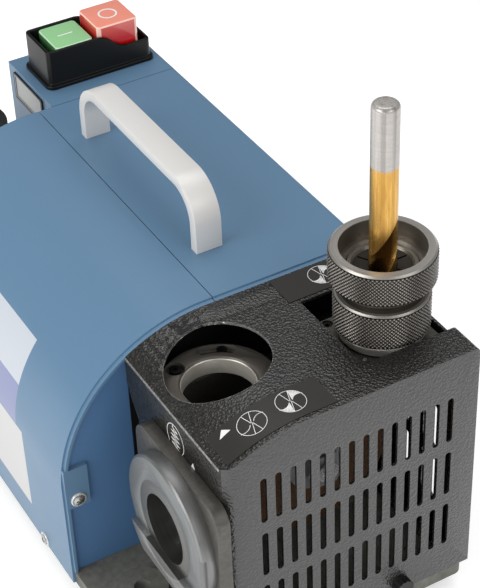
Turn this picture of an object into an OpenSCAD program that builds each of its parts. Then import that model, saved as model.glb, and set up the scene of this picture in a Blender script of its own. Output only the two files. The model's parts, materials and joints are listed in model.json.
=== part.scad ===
// Bench drill bit sharpener: a motor casing with a grinding head, three chuck ports and a
// collet chuck that holds a twist drill.
// Frame: X to the right, Y to the back, Z up. The origin is on the bench, at the middle of
// the four bench bolts.

/* [Casing] */
// Width over both side covers
casing_w = 180; // [170:1:200]
// Length from the front lip of the casing to its back
casing_len = 267; // [262:1:290]
// Height from the base casting to the top of the casing
casing_h = 144; // [140:1:160]
// Radius of the round left shoulder
arc_r = 86; // [80:1:92]
// Thickness of the painted sheet
sheet_t = 1.5; // [1:0.1:2]
// How far the covers reach down over the edge of the base
skirt = 8.5; // [5:0.5:8.5]
// Length of the left bay, which ends before the back of the casing
left_bay_len = 206; // [200:1:212]
// Place of the long seam, right of the middle
seam_x = 1; // [-2:0.5:4]
// Distance from that seam to the left wall of the rear box
rear_step = 8.5; // [8:0.5:14]
// Width of the open joint between two covers
seam_gap = 0.5; // [0.3:0.1:1]
// Width of the tongue that backs each seam
tongue_w = 9; // [6:0.5:12]
// Depth of the step rolled into the front lip
lip_step = 1; // [0.5:0.1:1.2]
// Length of the rolled front lip
lip_len = 2.6; // [2:0.1:4]
// Radius of the bend between top and right side
bend_r = 3; // [2:0.5:5]
// Outer diameter of the casing screws
casing_screw_d = 6; // [5:0.5:7]

/* [Base] */
// Thickness of the base casting
base_t = 9; // [8:0.5:14]
// Height of the rubber feet
foot_h = 10; // [8:0.5:16]
// Diameter of the rubber feet
foot_d = 26; // [20:1:30]
// Diameter of the bench bolt holes
bench_hole_d = 9; // [7:0.5:11]
// Distance between the bench bolts across
bench_x = 128; // [120:1:134]
// Distance between the bench bolts front to back
bench_y = 237; // [230:1:244]
// Height of the cast boss round each bench bolt hole
boss_h = 2; // [1:0.5:3]

/* [Guard] */
// Width of the guard box
guard_w = 140; // [138:1:144]
// Depth of the guard box
guard_d = 98; // [96:1:104]
// How far the guard top lies below the casing top
guard_drop = 1; // [0.5:0.1:2]
// Bend radius of the upright front corner
guard_corner_r = 7; // [4:0.5:9]
// Distance between the ventilation slots
slot_pitch = 8; // [7.4:0.1:8.2]
// Width of a ventilation slot
slot_w = 3.4; // [2.5:0.1:4]
// Height of a ventilation slot
slot_h = 27.8; // [24:0.2:30]
// Distance between the slot rows
slot_row = 35.1; // [33:0.1:36]
// Slots in each front row
slot_count = 14; // [8:1:14]
// Slots in each row of the right wall
side_slot_count = 8; // [4:1:9]

/* [Ports] */
// Bore that every port has for the nose of the chuck
port_bore_d = 36.5; // [34:0.5:38]
// Distance from the left wall of the guard to the first port
port1_side = 31.2; // [31:0.1:32]
// Diameter of the round window in the guard over the first port
window_d = 52.4; // [50:0.2:54]
// Depth of the first port's face below the guard top
port1_depth = 16; // [15:0.5:17]
// Thickness of the first port plate
port1_t = 5; // [4:0.5:5.5]
// Thickness of the turning disc on that plate
port1_disc_t = 4.5; // [4:0.1:4.8]
// Diameter of the disc of the side port
disc_d = 76; // [72:1:80]
// Thickness of that disc
disc_t = 7.5; // [6:0.5:12]
// Thickness of the flange behind the disc
flange_t = 7; // [5:0.5:9]
// Outer diameter of the side port's sleeve
sleeve_d = 50; // [47:0.5:52]
// How far the straight rest bar stands out of the disc
rest_out = 2.8; // [2:0.1:5]
// Depth of the third port's face below the guard top
port3_depth = 10.5; // [9:0.5:11]
// Thickness of the third port block
port3_t = 12; // [10:0.5:12.5]
// Angle that the first port can be turned each way
port_swing = 4; // [2:0.5:4]

/* [Chuck] */
// Diameter of the knurled clamping ring
ring_d = 52; // [50:0.5:54]
// Height of the clamping ring
ring_h = 19.5; // [17:0.5:22]
// Diameter of the knurled body
body_d = 47; // [45:0.5:48]
// Height of the knurled part of the body
knurl_h = 20.4; // [17:0.2:24]
// Height of the smooth taper below the knurl
taper_h = 6.7; // [5:0.1:8]
// Open gap between clamping ring and body
ring_gap = 5.4; // [4:0.2:8]
// Running clearance of the nose in its port, on the radius
nose_clear = 0.05; // [0.03:0.01:0.09]
// Diameter of the twist drill
drill_d = 13.5; // [10:0.5:14]
// Length of the drill from point to end
drill_len = 163.5; // [150:0.5:180]
// Gap between the corner of the drill point and the wheel
drill_gap = 0.6; // [0.4:0.1:1]

/* [Grinding wheel and motor] */
// Diameter of the grinding wheel
wheel_d = 92; // [86:1:94]
// Width of the wheel
wheel_w = 18; // [14:1:20]
// Depth of the wheel's rim below the top of the casing
wheel_drop = 25; // [24.5:0.1:26]
// Diameter of the motor body
motor_d = 88; // [80:1:96]
// Length of the motor body between its end bells
motor_len = 96; // [80:1:110]
// Diameter of the motor shaft
shaft_d = 12; // [10:0.5:14]
// Radial running clearance of the shaft
shaft_clear = 0.05; // [0.03:0.01:0.09]

/* [Switch] */
// Length of the switch bezel
switch_w = 70; // [68:0.5:74]
// Depth of the switch bezel
switch_d = 36; // [35:0.5:40]
// Height of the high end of the bezel, round the green button
switch_h = 24; // [22:0.5:28]
// Height of the low end of the bezel
switch_low_h = 14; // [12:0.5:17]
// Travel of each button
button_travel = 3; // [2:0.5:4]

/* [Handle] */
// Width of the handle bar
handle_w = 15; // [12:0.1:18]
// Thickness of the handle bar
handle_t = 6; // [5:0.5:8]
// Height of the handle over the casing
handle_h = 37; // [34:0.5:44]
// Length over both feet of the handle
handle_len = 133.5; // [125:0.5:145]
// Outer bend radius of the handle
handle_r = 22; // [16:0.5:26]

/* [Drill setting gauge] */
// Width of the gauge post
gauge_w = 52; // [50:1:54]
// Height of the gauge body above the base casting
gauge_h = 131; // [110:1:136]
// Travel of the gauge stop
gauge_travel = 12; // [8:1:16]

/* [Hidden] */
$fn = 96;
eps = 0.01;

// heights
base_z = foot_h;
base_top = base_z + base_t;
casing_top = base_top + casing_h;
skirt_z = base_top - skirt;
guard_top = casing_top - guard_drop;
axis_z = casing_top - wheel_drop - wheel_d / 2;

// lengths, with the bench bolts round the middle
guard_gap_y = 189;
guard_front = -guard_gap_y;
casing_front = guard_front + guard_d;
casing_back = casing_front + casing_len;
bay_back = casing_front + left_bay_len;
bulkhead_y = casing_front + lip_len;

// widths
half_w = casing_w / 2;
guard_left = half_w - guard_w;
arc_x = -half_w + arc_r;
arc_z = casing_top - arc_r;

// base
base_w = casing_w - 2 * sheet_t;
base_front = guard_front + sheet_t;
base_back = casing_back - sheet_t;
base_corner_r = 5;
foot_inset = 20;
foot_screw_d = 6;
foot_recess = 3;
boss_d = 27;
rib_h = base_t - 4;
rib_w = 6;
pocket_edge = 33;
pocket_rows = 4;
pocket_side = 45;
pocket_w = base_w - 2 * pocket_side;

// guard
guard_foot = 12;
guard_edge_drop = 27;
guard_edge_back = 10;
corner_ease = 0.02;
guard_slot_z = guard_top - 24.8;
guard_slot_side = 16;
notch_w = 54;
notch_front = 19;
notch_d = 56;
notch_drop = 8;
guard_screw_d = 7;
thread_clear = 0.1;
knob_side = 42;
knob_x = half_w - knob_side;
knob_z = base_top + 5;
knob_d = 10;
knob_out = 4.5;
knob_thread_d = 4;
lug_w = 12;
lug_len = 10;

// ports
port3_side = 25.5;
port3_set = 46;
port1_set = 60.4;
port2_set = 36.5;
port1_arc_side = 14.8;
port3_x = half_w - port3_side;
port3_y = guard_front + port3_set;
port1_x = max(guard_left + port1_side, arc_x - port1_arc_side);
port1_y = guard_front + port1_set;
port2_y = guard_front + port2_set;
axis_x = (port1_x + port3_x) / 2;
port1_z = guard_top - port1_depth;
port3_z = guard_top - port3_depth;
port1_hub_d = port_bore_d + 8;
port1_disc_r = 29;
port1_plate_r = 24;
port1_mouth = 1.2;
port1_under = port1_z - port1_disc_t - port1_t;
port1_head_h = 3;
port1_seat_z = port1_z - port1_head_h;
seat_gap = 0.05;
plate_gap = 1;
port1_arc_h = port1_under + port1_t + guard_drop + plate_gap - arc_z;
port1_arc_w = sqrt(pow(arc_r - sheet_t, 2) - pow(port1_arc_h, 2));
port1_plate_left = max(guard_left + sheet_t + plate_gap, arc_x - port1_arc_w + plate_gap);
port1_wheel_w = sqrt(max(0, pow(wheel_d / 2, 2) - pow(port1_under - axis_z, 2)));
port1_plate_right = min(port1_x + port1_plate_r, axis_x - port1_wheel_w - plate_gap);
port1_slot_r = 25.2;
port1_slot_a = [47, 80];
port1_slot_screw_a = 57.6;
port1_slot_w = 5.6;
port1_slot_head_d = 5.2;
port1_screw_r = 23.8;
port1_screw_a = 123.2;
port1_sink_d = 9.6;
port1_screw_head_d = 6;
port1_thread_d = 3.2;
port2_hole_d = sleeve_d + 2;
rest_h = 12;
rest_top = axis_z - port_bore_d / 2 - 0.25;
rest_low = rest_top - rest_h;
disc_notch = 3;
disc_notch_top = axis_z + 9;
flange_w = 81;
flange_corner_r = 10;
port2_z = axis_z;
port2_face = guard_left - flange_t - disc_t;
frame_t = 8;
frame_set = 77;
frame_back_y = guard_front + frame_set + frame_t;
frame_front_y = frame_back_y - frame_t;
port3_under = port3_z - port3_t;
port3_back = port3_y + 22;
port3_front = port3_y - 23.5;
port3_left = port3_x - 23.5;
port3_right = port3_x + 22;

// chuck
seat_t = 1.2;
chuck_z = port3_z + seat_t;
knurl_z = chuck_z + taper_h - seat_t;
body_top = knurl_z + knurl_h;
ring_z = body_top + ring_gap;
ring_top = ring_z + ring_h;
nose_len = port3_t + 2.5;
nose_r = port_bore_d / 2 - nose_clear;
collet_gap = 0.25;
neck_r = 17.2;
ring_cup_depth = 10;
ring_web_h = ring_h - ring_cup_depth;
ring_wall = 4.6;
ring_foot_h = 4;
ring_foot_bevel = 2.5;
ring_rim_bevel = 1;
ring_step = 2.2;
ring_lead = 1.5;
thread_gap = 0.3;
collet_r = 11;
point_angle = 59;
point_h = drill_d / 2 / tan(point_angle);
drill_side = port3_x - drill_d / 2 - axis_x;
wheel_rise = sqrt(pow(wheel_d / 2, 2) - pow(drill_side, 2));
drill_tip_z = axis_z + wheel_rise + drill_gap - point_h;

// wheel and motor
wheel_y = guard_front + 49;
hub_d = 34;
wheel_bore_d = 20;
nut_h = 8;
motor_front = bulkhead_y + sheet_t + 10;
motor_back = motor_front + motor_len;
bell_t = 12;
bearing_od = 32;
bearing_t = 9;
bearing_in = 7;
bell_in = 8;
fan_t = 12;
shaft_front = wheel_y - wheel_w / 2 - nut_h - 4;
shaft_back = motor_back + bell_t + fan_t + 6;
bulkhead_hole_d = 46;

// switch
switch_x = half_w - 5 - switch_w / 2;
switch_y = casing_back - 28;
switch_rim = 2;
switch_flange = 2;
switch_wave = 22;
button_gap = 0.5;
green_w = 23.5;
red_w = 26;
button_d = 26.5;

// handle
handle_side = 17.8;
handle_x = seam_x + handle_side;
handle_y = casing_front + 37;
handle_screw_d = 4;
handle_screw_y = [handle_y + handle_t / 2, handle_y + handle_len - handle_t / 2];

// gauge
gauge_side = 55;
gauge_x = -half_w + gauge_side;
gauge_y = bay_back + 30;
gauge_base_w = 50;
gauge_base_d = 42;
gauge_base_t = 8;
gauge_bore_len = 40;
gauge_eye_d = 16;
stop_w = 11.4;
stop_h = 10;
stop_gap = 0.3;
stop_thread_d = 5;
stop_thread_len = 9;
gauge_knob_d = 16;
gauge_knob_len = 10;

// ---------------------------------------------------------------- helpers

// Extrudes a drawing of X and Z from y0 to y1
module along_y(y0, y1) {
    translate([0, y1, 0]) rotate([90, 0, 0]) linear_extrude(y1 - y0) children();
}

// Extrudes a drawing of Y and Z from x0 to x1
module along_x(x0, x1) {
    translate([x0, 0, 0]) rotate([90, 0, 90]) linear_extrude(x1 - x0) children();
}

// A block between two corners
module block(a, b) {
    translate(a) cube(b - a);
}

// An upright rod from z0 to z1
module rod_z(x, y, z0, z1, d) {
    translate([x, y, z0]) cylinder(d = d, h = z1 - z0);
}

// A rod along Y from y0 to y1
module rod_y(x, z, y0, y1, d) {
    translate([x, y1, z]) rotate([90, 0, 0]) cylinder(d = d, h = y1 - y0);
}

// A rod along X from x0 to x1
module rod_x(y, z, x0, x1, d) {
    translate([x0, y, z]) rotate([0, 90, 0]) cylinder(d = d, h = x1 - x0);
}

// A rectangle with round corners, from its lower left corner
module round_rect(w, h, r) {
    translate([r, 0]) square([w - 2 * r, h]);
    translate([0, r]) square([w, h - 2 * r]);
    for (x = [r, w - r], y = [r, h - r]) translate([x, y]) circle(r = r);
}

// Cross section of the casing in X and Z: flat top, round left shoulder, small right bend
module case_profile(inset, z0) {
    r = arc_r - inset;
    br = max(bend_r - inset, 0.5);
    left = -half_w + inset;
    right = half_w - inset;
    top = casing_top - inset;
    translate([arc_x, arc_z]) intersection() {
        circle(r = r, $fn = 180);
        translate([-r, 0]) square([r, r]);
    }
    translate([left, z0]) square([arc_x - left, arc_z - z0]);
    translate([arc_x, z0]) square([right - br - arc_x, top - z0]);
    translate([arc_x, z0]) square([right - arc_x, top - br - z0]);
    translate([right - br, top - br]) circle(r = br);
}

// The painted shell of the casing between two places along Y
module case_shell(y0, y1, outer, z0) {
    along_y(y0, y1) difference() {
        case_profile(outer, z0);
        case_profile(outer + sheet_t, z0 - 1);
    }
}

// A socket head screw that points along +Z, its head seated at the origin
module cap_screw(d, head_d, head_h, len) {
    difference() {
        union() {
            cylinder(d = head_d, h = head_h);
            translate([0, 0, -len]) cylinder(d = d, h = len + eps);
        }
        translate([0, 0, head_h * 0.45]) cylinder(d = d * 0.85, h = head_h, $fn = 6);
    }
}

// A pan head screw with a cross recess, its head seated at the origin
module pan_screw(d, head_d, head_h, len) {
    difference() {
        union() {
            intersection() {
                cylinder(d = head_d, h = head_h);
                translate([0, 0, head_h - head_d]) sphere(r = head_d);
            }
            translate([0, 0, -len]) cylinder(d = d, h = len + eps);
        }
        for (a = [0, 90]) rotate(a) translate([-head_d * 0.3, -head_d * 0.06, head_h * 0.5])
            cube([head_d * 0.6, head_d * 0.12, head_h]);
    }
}

// ---------------------------------------------------------------- base

module bench_bolts() {
    for (x = [-bench_x / 2, bench_x / 2], y = [-bench_y / 2, bench_y / 2]) translate([x, y, 0]) children();
}

module foot_places() {
    for (x = [-base_w / 2 + foot_inset, base_w / 2 - foot_inset],
         y = [base_front + foot_inset, base_back - foot_inset]) translate([x, y, 0]) children();
}

module base_casting() {
    pocket_len = (base_back - base_front - 2 * pocket_edge + rib_w) / pocket_rows;
    color([0.46, 0.46, 0.43]) difference() {
        union() {
            translate([-base_w / 2, base_front, base_z]) linear_extrude(base_t)
                round_rect(base_w, base_back - base_front, base_corner_r);
            translate([-bench_x / 2, -bench_y / 2, base_top - eps]) cylinder(d = boss_d, h = boss_h + eps);
            // lug for the thumb screw of the guard
            block([knob_x - lug_w / 2, guard_front + sheet_t, base_top - eps],
                  [knob_x + lug_w / 2, guard_front + sheet_t + lug_len, knob_z + lug_w / 2]);
        }
        // hollow underside with ribs left between the pockets
        for (i = [0:pocket_rows - 1], x = [-pocket_w / 2, rib_w / 2])
            translate([x, base_front + pocket_edge + i * pocket_len, base_z - 1])
                cube([(pocket_w - rib_w) / 2, pocket_len - rib_w, rib_h + 1]);
        bench_bolts() translate([0, 0, base_z - 1]) cylinder(d = bench_hole_d, h = base_t + boss_h + 2);
        foot_places() translate([0, 0, base_z - 1]) cylinder(d = foot_screw_d, h = base_t + 2);
        for (p = guard_screw_places)
            rod_z(p[0], p[1], base_z - 1, base_top + 1, guard_thread_d + thread_clear);
        for (x = frame_screw_x) {
            rod_z(x, frame_screw_y, base_z - 1, base_top + 1, frame_screw_d + thread_clear);
            rod_z(x, frame_screw_y, base_z - 1, base_z + rib_h, frame_head_d + 1);
        }
        rod_y(knob_x, knob_z, guard_front - 1, guard_front + sheet_t + lug_len + 1,
              knob_thread_d + thread_clear);
        side_screw_holes(casing_screw_len);
    }
}

module rubber_feet() {
    color([0.08, 0.08, 0.08]) foot_places() difference() {
        cylinder(d1 = foot_d - 4, d2 = foot_d, h = foot_h);
        translate([0, 0, -1]) cylinder(d = foot_screw_d + 6, h = foot_recess + 1);
        translate([0, 0, -1]) cylinder(d = foot_screw_d, h = foot_h + 2);
    }
}

module foot_screws() {
    color("silver") foot_places() translate([0, 0, foot_recess]) mirror([0, 0, 1])
        cap_screw(foot_screw_d - 0.4, foot_screw_d + 4, foot_recess - 0.5, foot_h - foot_recess + base_t - 2);
}

// ---------------------------------------------------------------- casing

tab_w = 13;
tab_h = 26;
tab_top = arc_z + 14;

module left_cover() {
    color([0.40, 0.52, 0.64]) difference() {
        union() {
            intersection() {
                union() {
                    case_shell(casing_front + lip_len, bay_back - seam_gap / 2, 0, skirt_z);
                    case_shell(casing_front, casing_front + lip_len + sheet_t, lip_step, base_top);
                }
                block([-half_w - 1, casing_front - 1, skirt_z - 1],
                      [seam_x - seam_gap / 2, bay_back + 1, casing_top + 1]);
            }
            // tab folded over the front bulkhead
            translate([-half_w + lip_step, casing_front, tab_top - tab_h])
                cube([tab_w, lip_len, tab_h]);
        }
        side_screw_holes(0);
        tab_screw_hole();
    }
}

module right_cover() {
    color([0.40, 0.52, 0.64]) difference() {
        union() {
            intersection() {
                union() {
                    case_shell(casing_front + lip_len, bay_back - seam_gap / 2, 0, skirt_z);
                    case_shell(casing_front, casing_front + lip_len + sheet_t, lip_step, base_top);
                }
                block([seam_x + seam_gap / 2, casing_front - 1, skirt_z - 1],
                      [half_w + 1, bay_back + 1, casing_top + 1]);
            }
            // tongue that backs the long seam
            block([arc_x, bulkhead_y + sheet_t, casing_top - 2 * sheet_t],
                  [seam_x + tongue_w, bay_back - rear_recess - 2 * sheet_t, casing_top - sheet_t]);
        }
        side_screw_holes(0);
        for (y = handle_screw_y)
            rod_z(handle_x, y, casing_top - 3 * sheet_t, casing_top + 1, handle_screw_d + thread_clear);
    }
}

rear_left = seam_x + rear_step;
rear_recess = 4.5;
switch_cut = 5;

module rear_cover() {
    color([0.40, 0.52, 0.64]) difference() {
        union() {
            intersection() {
                case_shell(bay_back + seam_gap / 2, casing_back - sheet_t, 0, skirt_z);
                block([rear_left, bay_back, skirt_z - 1], [half_w + 1, casing_back + 1, casing_top + 1]);
            }
            block([rear_left, bay_back + seam_gap / 2, base_top],
                  [rear_left + sheet_t, casing_back - sheet_t, casing_top - sheet_t / 2]);
            // tongue that backs the cross seam
            block([rear_left + tongue_w, bay_back - tongue_w, casing_top - 2 * sheet_t],
                  [half_w - sheet_t - 1, bay_back + tongue_w, casing_top - sheet_t]);
        }
        translate([switch_x - switch_w / 2 + switch_cut, switch_y - switch_d / 2 + switch_cut,
                   casing_top - 10])
            cube([switch_w - 2 * switch_cut, switch_d - 2 * switch_cut, 20]);
    }
}

module front_bulkhead() {
    color([0.29, 0.40, 0.56]) difference() {
        along_y(bulkhead_y, bulkhead_y + sheet_t) case_profile(lip_step + sheet_t, base_top);
        rod_y(axis_x, axis_z, bulkhead_y - 1, bulkhead_y + sheet_t + 1, bulkhead_hole_d);
        tab_screw_hole();
    }
}

module rear_panel() {
    color([0.40, 0.52, 0.64]) difference() {
        intersection() {
            along_y(casing_back - sheet_t, casing_back) case_profile(0, skirt_z);
            block([rear_left, casing_back - 10, 0], [half_w + 1, casing_back + 10, casing_top + 1]);
        }
        rod_y(gland_x, gland_z, casing_back - 10, casing_back + 10, gland_d + thread_clear);
        for (i = [0:vent_count - 1]) translate([vent_x + i * vent_pitch, casing_back - 5, vent_z])
            cube([vent_w, 10, vent_h]);
    }
}

module left_rear_panel() {
    color([0.40, 0.52, 0.64]) intersection() {
        along_y(bay_back - rear_recess - sheet_t, bay_back - rear_recess) case_profile(sheet_t, base_top);
        block([-half_w, bay_back - 20, 0], [rear_left - seam_gap, bay_back + 10, casing_top]);
    }
}

tab_screw_x = -half_w + lip_step + tab_w / 2;
tab_screw_z = tab_top - tab_h + 5;
side_screw_z = skirt_z + 3.5;
side_screw_y = [casing_front + 36.3, bay_back - 30];
casing_screw_len = 6;
casing_thread_d = casing_screw_d - 2.2;
casing_head_h = 2;

// Holes for the screws that hold the covers to the sides of the base, deeper by some depth
module side_screw_holes(depth) {
    reach = sheet_t + depth + 1;
    for (y = side_screw_y) {
        rod_x(y, side_screw_z, -half_w - 1, -half_w + reach, casing_thread_d + thread_clear);
        rod_x(y, side_screw_z, half_w - reach, half_w + 1, casing_thread_d + thread_clear);
    }
}

module tab_screw_hole() {
    rod_y(tab_screw_x, tab_screw_z, casing_front - 1, bulkhead_y + sheet_t + 1,
          casing_thread_d + thread_clear);
}

module casing_screws() {
    color([0.16, 0.16, 0.17]) {
        translate([tab_screw_x, casing_front, tab_screw_z]) rotate([90, 0, 0])
            pan_screw(casing_thread_d, casing_screw_d, casing_head_h, lip_len + sheet_t);
        for (y = side_screw_y) {
            translate([-half_w, y, side_screw_z]) rotate([0, -90, 0])
                pan_screw(casing_thread_d, casing_screw_d, casing_head_h, sheet_t + casing_screw_len);
            translate([half_w, y, side_screw_z]) rotate([0, 90, 0])
                pan_screw(casing_thread_d, casing_screw_d, casing_head_h, sheet_t + casing_screw_len);
        }
    }
}

plate_y = bay_back + 13;
plate_len = 40;
plate_h = 18;
plate_drop = 2.5;
plate_margin = 2;

module data_plate() {
    z0 = casing_top - plate_drop - plate_h;
    color([0.12, 0.12, 0.12]) along_x(rear_left - 1, rear_left) difference() {
        translate([plate_y, z0]) round_rect(plate_len, plate_h, 1.5);
        translate([plate_y + plate_margin, z0 + plate_margin])
            square([plate_len - 2 * plate_margin, plate_h - 2 * plate_margin]);
    }
    color([0.75, 0.75, 0.73]) along_x(rear_left - 0.5, rear_left)
        translate([plate_y + plate_margin, z0 + plate_margin])
        square([plate_len - 2 * plate_margin, plate_h - 2 * plate_margin]);
}

// ---------------------------------------------------------------- handle

// A bar bent at both ends, drawn in Y and Z from the top of the casing
module handle_outline() {
    bends = [handle_r, handle_len - handle_r];
    intersection() {
        square([handle_len, handle_h]);
        difference() {
            union() {
                square([handle_len, handle_h - handle_r]);
                translate([handle_r, 0]) square([handle_len - 2 * handle_r, handle_h]);
                for (y = bends) translate([y, handle_h - handle_r]) circle(r = handle_r);
            }
            translate([handle_t, -1]) square([handle_len - 2 * handle_t, handle_h - handle_r + 1]);
            translate([handle_r, -1]) square([handle_len - 2 * handle_r, handle_h - handle_t + 1]);
            for (y = bends) translate([y, handle_h - handle_r]) circle(r = handle_r - handle_t);
        }
    }
}

module handle() {
    color([0.86, 0.85, 0.83]) difference() {
        translate([0, handle_y, casing_top]) along_x(handle_x - handle_w / 2, handle_x + handle_w / 2)
            handle_outline();
        for (y = handle_screw_y) rod_z(handle_x, y, casing_top - 1, casing_top + 9, handle_screw_d);
    }
}

module handle_screws() {
    color([0.16, 0.16, 0.17]) for (y = handle_screw_y)
        translate([handle_x, y, casing_top - sheet_t]) mirror([0, 0, 1])
            cap_screw(handle_screw_d - 0.3, handle_screw_d + 3, 3, sheet_t + 8);
}

// ---------------------------------------------------------------- switch

module switch_outline(inset, r) {
    translate([switch_x - switch_w / 2 + inset, switch_y - switch_d / 2 + inset])
        round_rect(switch_w - 2 * inset, switch_d - 2 * inset, r);
}

// Side view of the bezel: high round the green button, a wave, then low round the red one
module switch_side() {
    left = switch_x - switch_w / 2;
    step = (switch_h - switch_low_h) / 2;
    half = switch_wave / 2;
    wave_r = (half * half + step * step) / (2 * step);
    mid = green_x + green_w / 2 + half;
    translate([left, casing_top]) square([switch_w, switch_low_h]);
    translate([left, casing_top]) square([mid - half - left, switch_h]);
    intersection() {
        translate([mid - half, casing_top + switch_h - wave_r]) circle(r = wave_r);
        translate([mid - half - eps, casing_top]) square([half + eps, switch_h]);
    }
    difference() {
        translate([mid - eps, casing_top]) square([half + eps, switch_low_h + step]);
        translate([mid + half, casing_top + switch_low_h + wave_r]) circle(r = wave_r);
    }
}

module switch_bezel() {
    color([0.05, 0.05, 0.05]) difference() {
        union() {
            translate([0, 0, casing_top]) linear_extrude(switch_floor) switch_outline(0, 5);
            intersection() {
                translate([0, 0, casing_top]) linear_extrude(switch_h) switch_outline(switch_flange, 3);
                along_y(switch_y - switch_d, switch_y + switch_d) switch_side();
            }
        }
        translate([0, 0, casing_top + switch_floor]) linear_extrude(switch_h)
            switch_outline(switch_flange + switch_rim, 1.5);
        for (x = [green_x, red_x]) translate([x, switch_y, casing_top - 1])
            linear_extrude(switch_h) square(stem_w + 2 * button_gap, center = true);
    }
}

green_x = switch_x - switch_w / 2 + 9.3 + green_w / 2;
red_x = green_x + green_w / 2 + 3.2 + red_w / 2;
switch_floor = 2.5;
stem_w = 10;
stem_reach = 2;
green_top = casing_top + switch_h - 0.5;
red_top = casing_top + switch_h + 4.5;

module button(x, w, z1) {
    z0 = casing_top + switch_floor + button_travel + button_gap;
    translate([x - w / 2, switch_y - button_d / 2, z0]) linear_extrude(z1 - z0)
        round_rect(w, button_d, 2.5);
    translate([x - stem_w / 2, switch_y - stem_w / 2, casing_top - stem_reach])
        cube([stem_w, stem_w, z0 - casing_top + stem_reach + eps]);
}

module green_button() {
    color([0.20, 0.62, 0.36]) button(green_x, green_w, green_top);
}

module red_button() {
    color([0.80, 0.20, 0.18]) button(red_x, red_w, red_top);
}

switch_body_h = 38;

module switch_body() {
    well_z = casing_top - stem_reach - button_travel - button_gap;
    inset = switch_cut + 1;
    color([0.10, 0.10, 0.11]) difference() {
        translate([switch_x - switch_w / 2 + inset, switch_y - switch_d / 2 + inset,
                   casing_top - switch_body_h])
            cube([switch_w - 2 * inset, switch_d - 2 * inset, switch_body_h]);
        for (x = [green_x, red_x]) translate([x, switch_y, well_z])
            linear_extrude(switch_body_h) square(stem_w + 2 * button_gap, center = true);
    }
}

// ---------------------------------------------------------------- guard

// Plan of the guard, with the bent upright front corner. Its right side is cut by the profile
module guard_plan(inset, y1) {
    r = guard_corner_r - inset;
    x0 = guard_left + inset;
    x1 = half_w + 5;
    y0 = guard_front + inset;
    translate([x0 + r, y0]) square([x1 - x0 - r, y1 - y0]);
    translate([x0, y0 + r]) square([x1 - x0, y1 - y0 - r]);
    intersection() {
        translate([x0 + r - corner_ease, y0 + r - corner_ease]) circle(r = r);
        translate([x0, y0]) square(2 * r);
    }
}

// The casing's profile, lowered, cut to the plan of the guard
module guard_shape(inset, z0, y1) {
    intersection() {
        along_y(guard_front - 5, y1 + 5) translate([0, -guard_drop]) case_profile(inset, z0 - 5);
        translate([0, 0, z0]) linear_extrude(casing_h) guard_plan(inset, y1);
    }
}

module slot_row(count, pitch) {
    for (i = [0:count - 1], j = [0:2]) translate([i * pitch, -j * slot_row]) {
        translate([-slot_w / 2, -slot_h + slot_w / 2]) square([slot_w, slot_h - slot_w]);
        translate([0, -slot_w / 2]) circle(d = slot_w, $fn = 24);
        translate([0, -slot_h + slot_w / 2]) circle(d = slot_w, $fn = 24);
    }
}

notch_x = half_w - notch_w;
notch_y = guard_front + notch_front;

module guard() {
    color([0.20, 0.20, 0.20]) difference() {
        union() {
            difference() {
                guard_shape(0, base_top, casing_front);
                guard_shape(sheet_t, base_top - 1, casing_front + 1);
            }
            // feet folded inwards onto the base
            block([guard_left, guard_front + guard_corner_r, base_top],
                  [guard_left + guard_foot, casing_front, base_top + sheet_t]);
            block([half_w - guard_foot, guard_front, base_top],
                  [half_w, casing_front, base_top + sheet_t]);
        }
        // ventilation slots in the front and the right wall
        along_y(guard_front - 1, guard_front + sheet_t + 1)
            translate([half_w - guard_slot_side - (slot_count - 1) * slot_pitch, guard_slot_z])
                slot_row(slot_count, slot_pitch);
        along_x(half_w - sheet_t - 1, half_w + 1)
            translate([guard_front + guard_slot_side, guard_slot_z])
                slot_row(side_slot_count, slot_pitch);
        // window of the first port
        rod_z(port1_x, port1_y, guard_top - 40, guard_top + 5, window_d);
        // notch of the third port, open through the right wall
        block([notch_x, notch_y, guard_top - notch_drop], [half_w + 1, notch_y + notch_d, guard_top + 5]);
        // round hole for the side port
        rod_x(port2_y, port2_z, guard_left - 1, guard_left + sheet_t + 1, port2_hole_d);
        // rear edge of the left wall, cut back on a slant
        along_x(guard_left - 1, guard_left + 2 * sheet_t)
            polygon([[casing_front + 1, casing_top - guard_edge_drop],
                     [casing_front - guard_edge_back / 3, casing_top - guard_edge_drop - guard_edge_back],
                     [casing_front - guard_edge_back, casing_top - guard_edge_drop - 2 * guard_edge_back],
                     [casing_front - guard_edge_back, base_top + sheet_t],
                     [casing_front + 1, base_top + sheet_t]]);
        // holes of the guard screws, of the side port's screws and of the thumb screw
        for (p = guard_screw_places)
            rod_z(p[0], p[1], base_top - 1, base_top + sheet_t + 1, guard_thread_d + thread_clear);
        port2_screw_places()
            rod_x(0, 0, guard_left - 1, guard_left + sheet_t + 1, port2_thread_d + thread_clear);
        rod_y(knob_x, knob_z, guard_front - 1, guard_front + sheet_t + 1, knob_thread_d + thread_clear);
    }
}

guard_thread_d = guard_screw_d - 3;
guard_screw_places = [
    [guard_left + guard_foot - 5, guard_front + 24], [guard_left + guard_foot - 5, casing_front - 14],
    [half_w - guard_foot + 5, guard_front + 24], [half_w - guard_foot + 5, casing_front - 14]];

module guard_screws() {
    color([0.16, 0.16, 0.17]) for (p = guard_screw_places) translate([p[0], p[1], base_top + sheet_t])
        cap_screw(guard_thread_d, guard_screw_d, 3.5, sheet_t + base_t - 3);
}

// Knurled thumb screw at the foot of the guard's front
module guard_knob() {
    color([0.08, 0.08, 0.08]) difference() {
        union() {
            rod_y(knob_x, knob_z, guard_front - knob_out, guard_front, knob_d);
            rod_y(knob_x, knob_z, guard_front - eps, guard_front + sheet_t + lug_len - 1, knob_thread_d);
        }
        for (i = [0:11]) translate([knob_x, guard_front - knob_out - 1, knob_z]) rotate([0, i * 30, 0])
            translate([-0.4, 0, knob_d / 2 - 0.5]) cube([0.8, knob_out + 0.5, 2]);
    }
}

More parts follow.
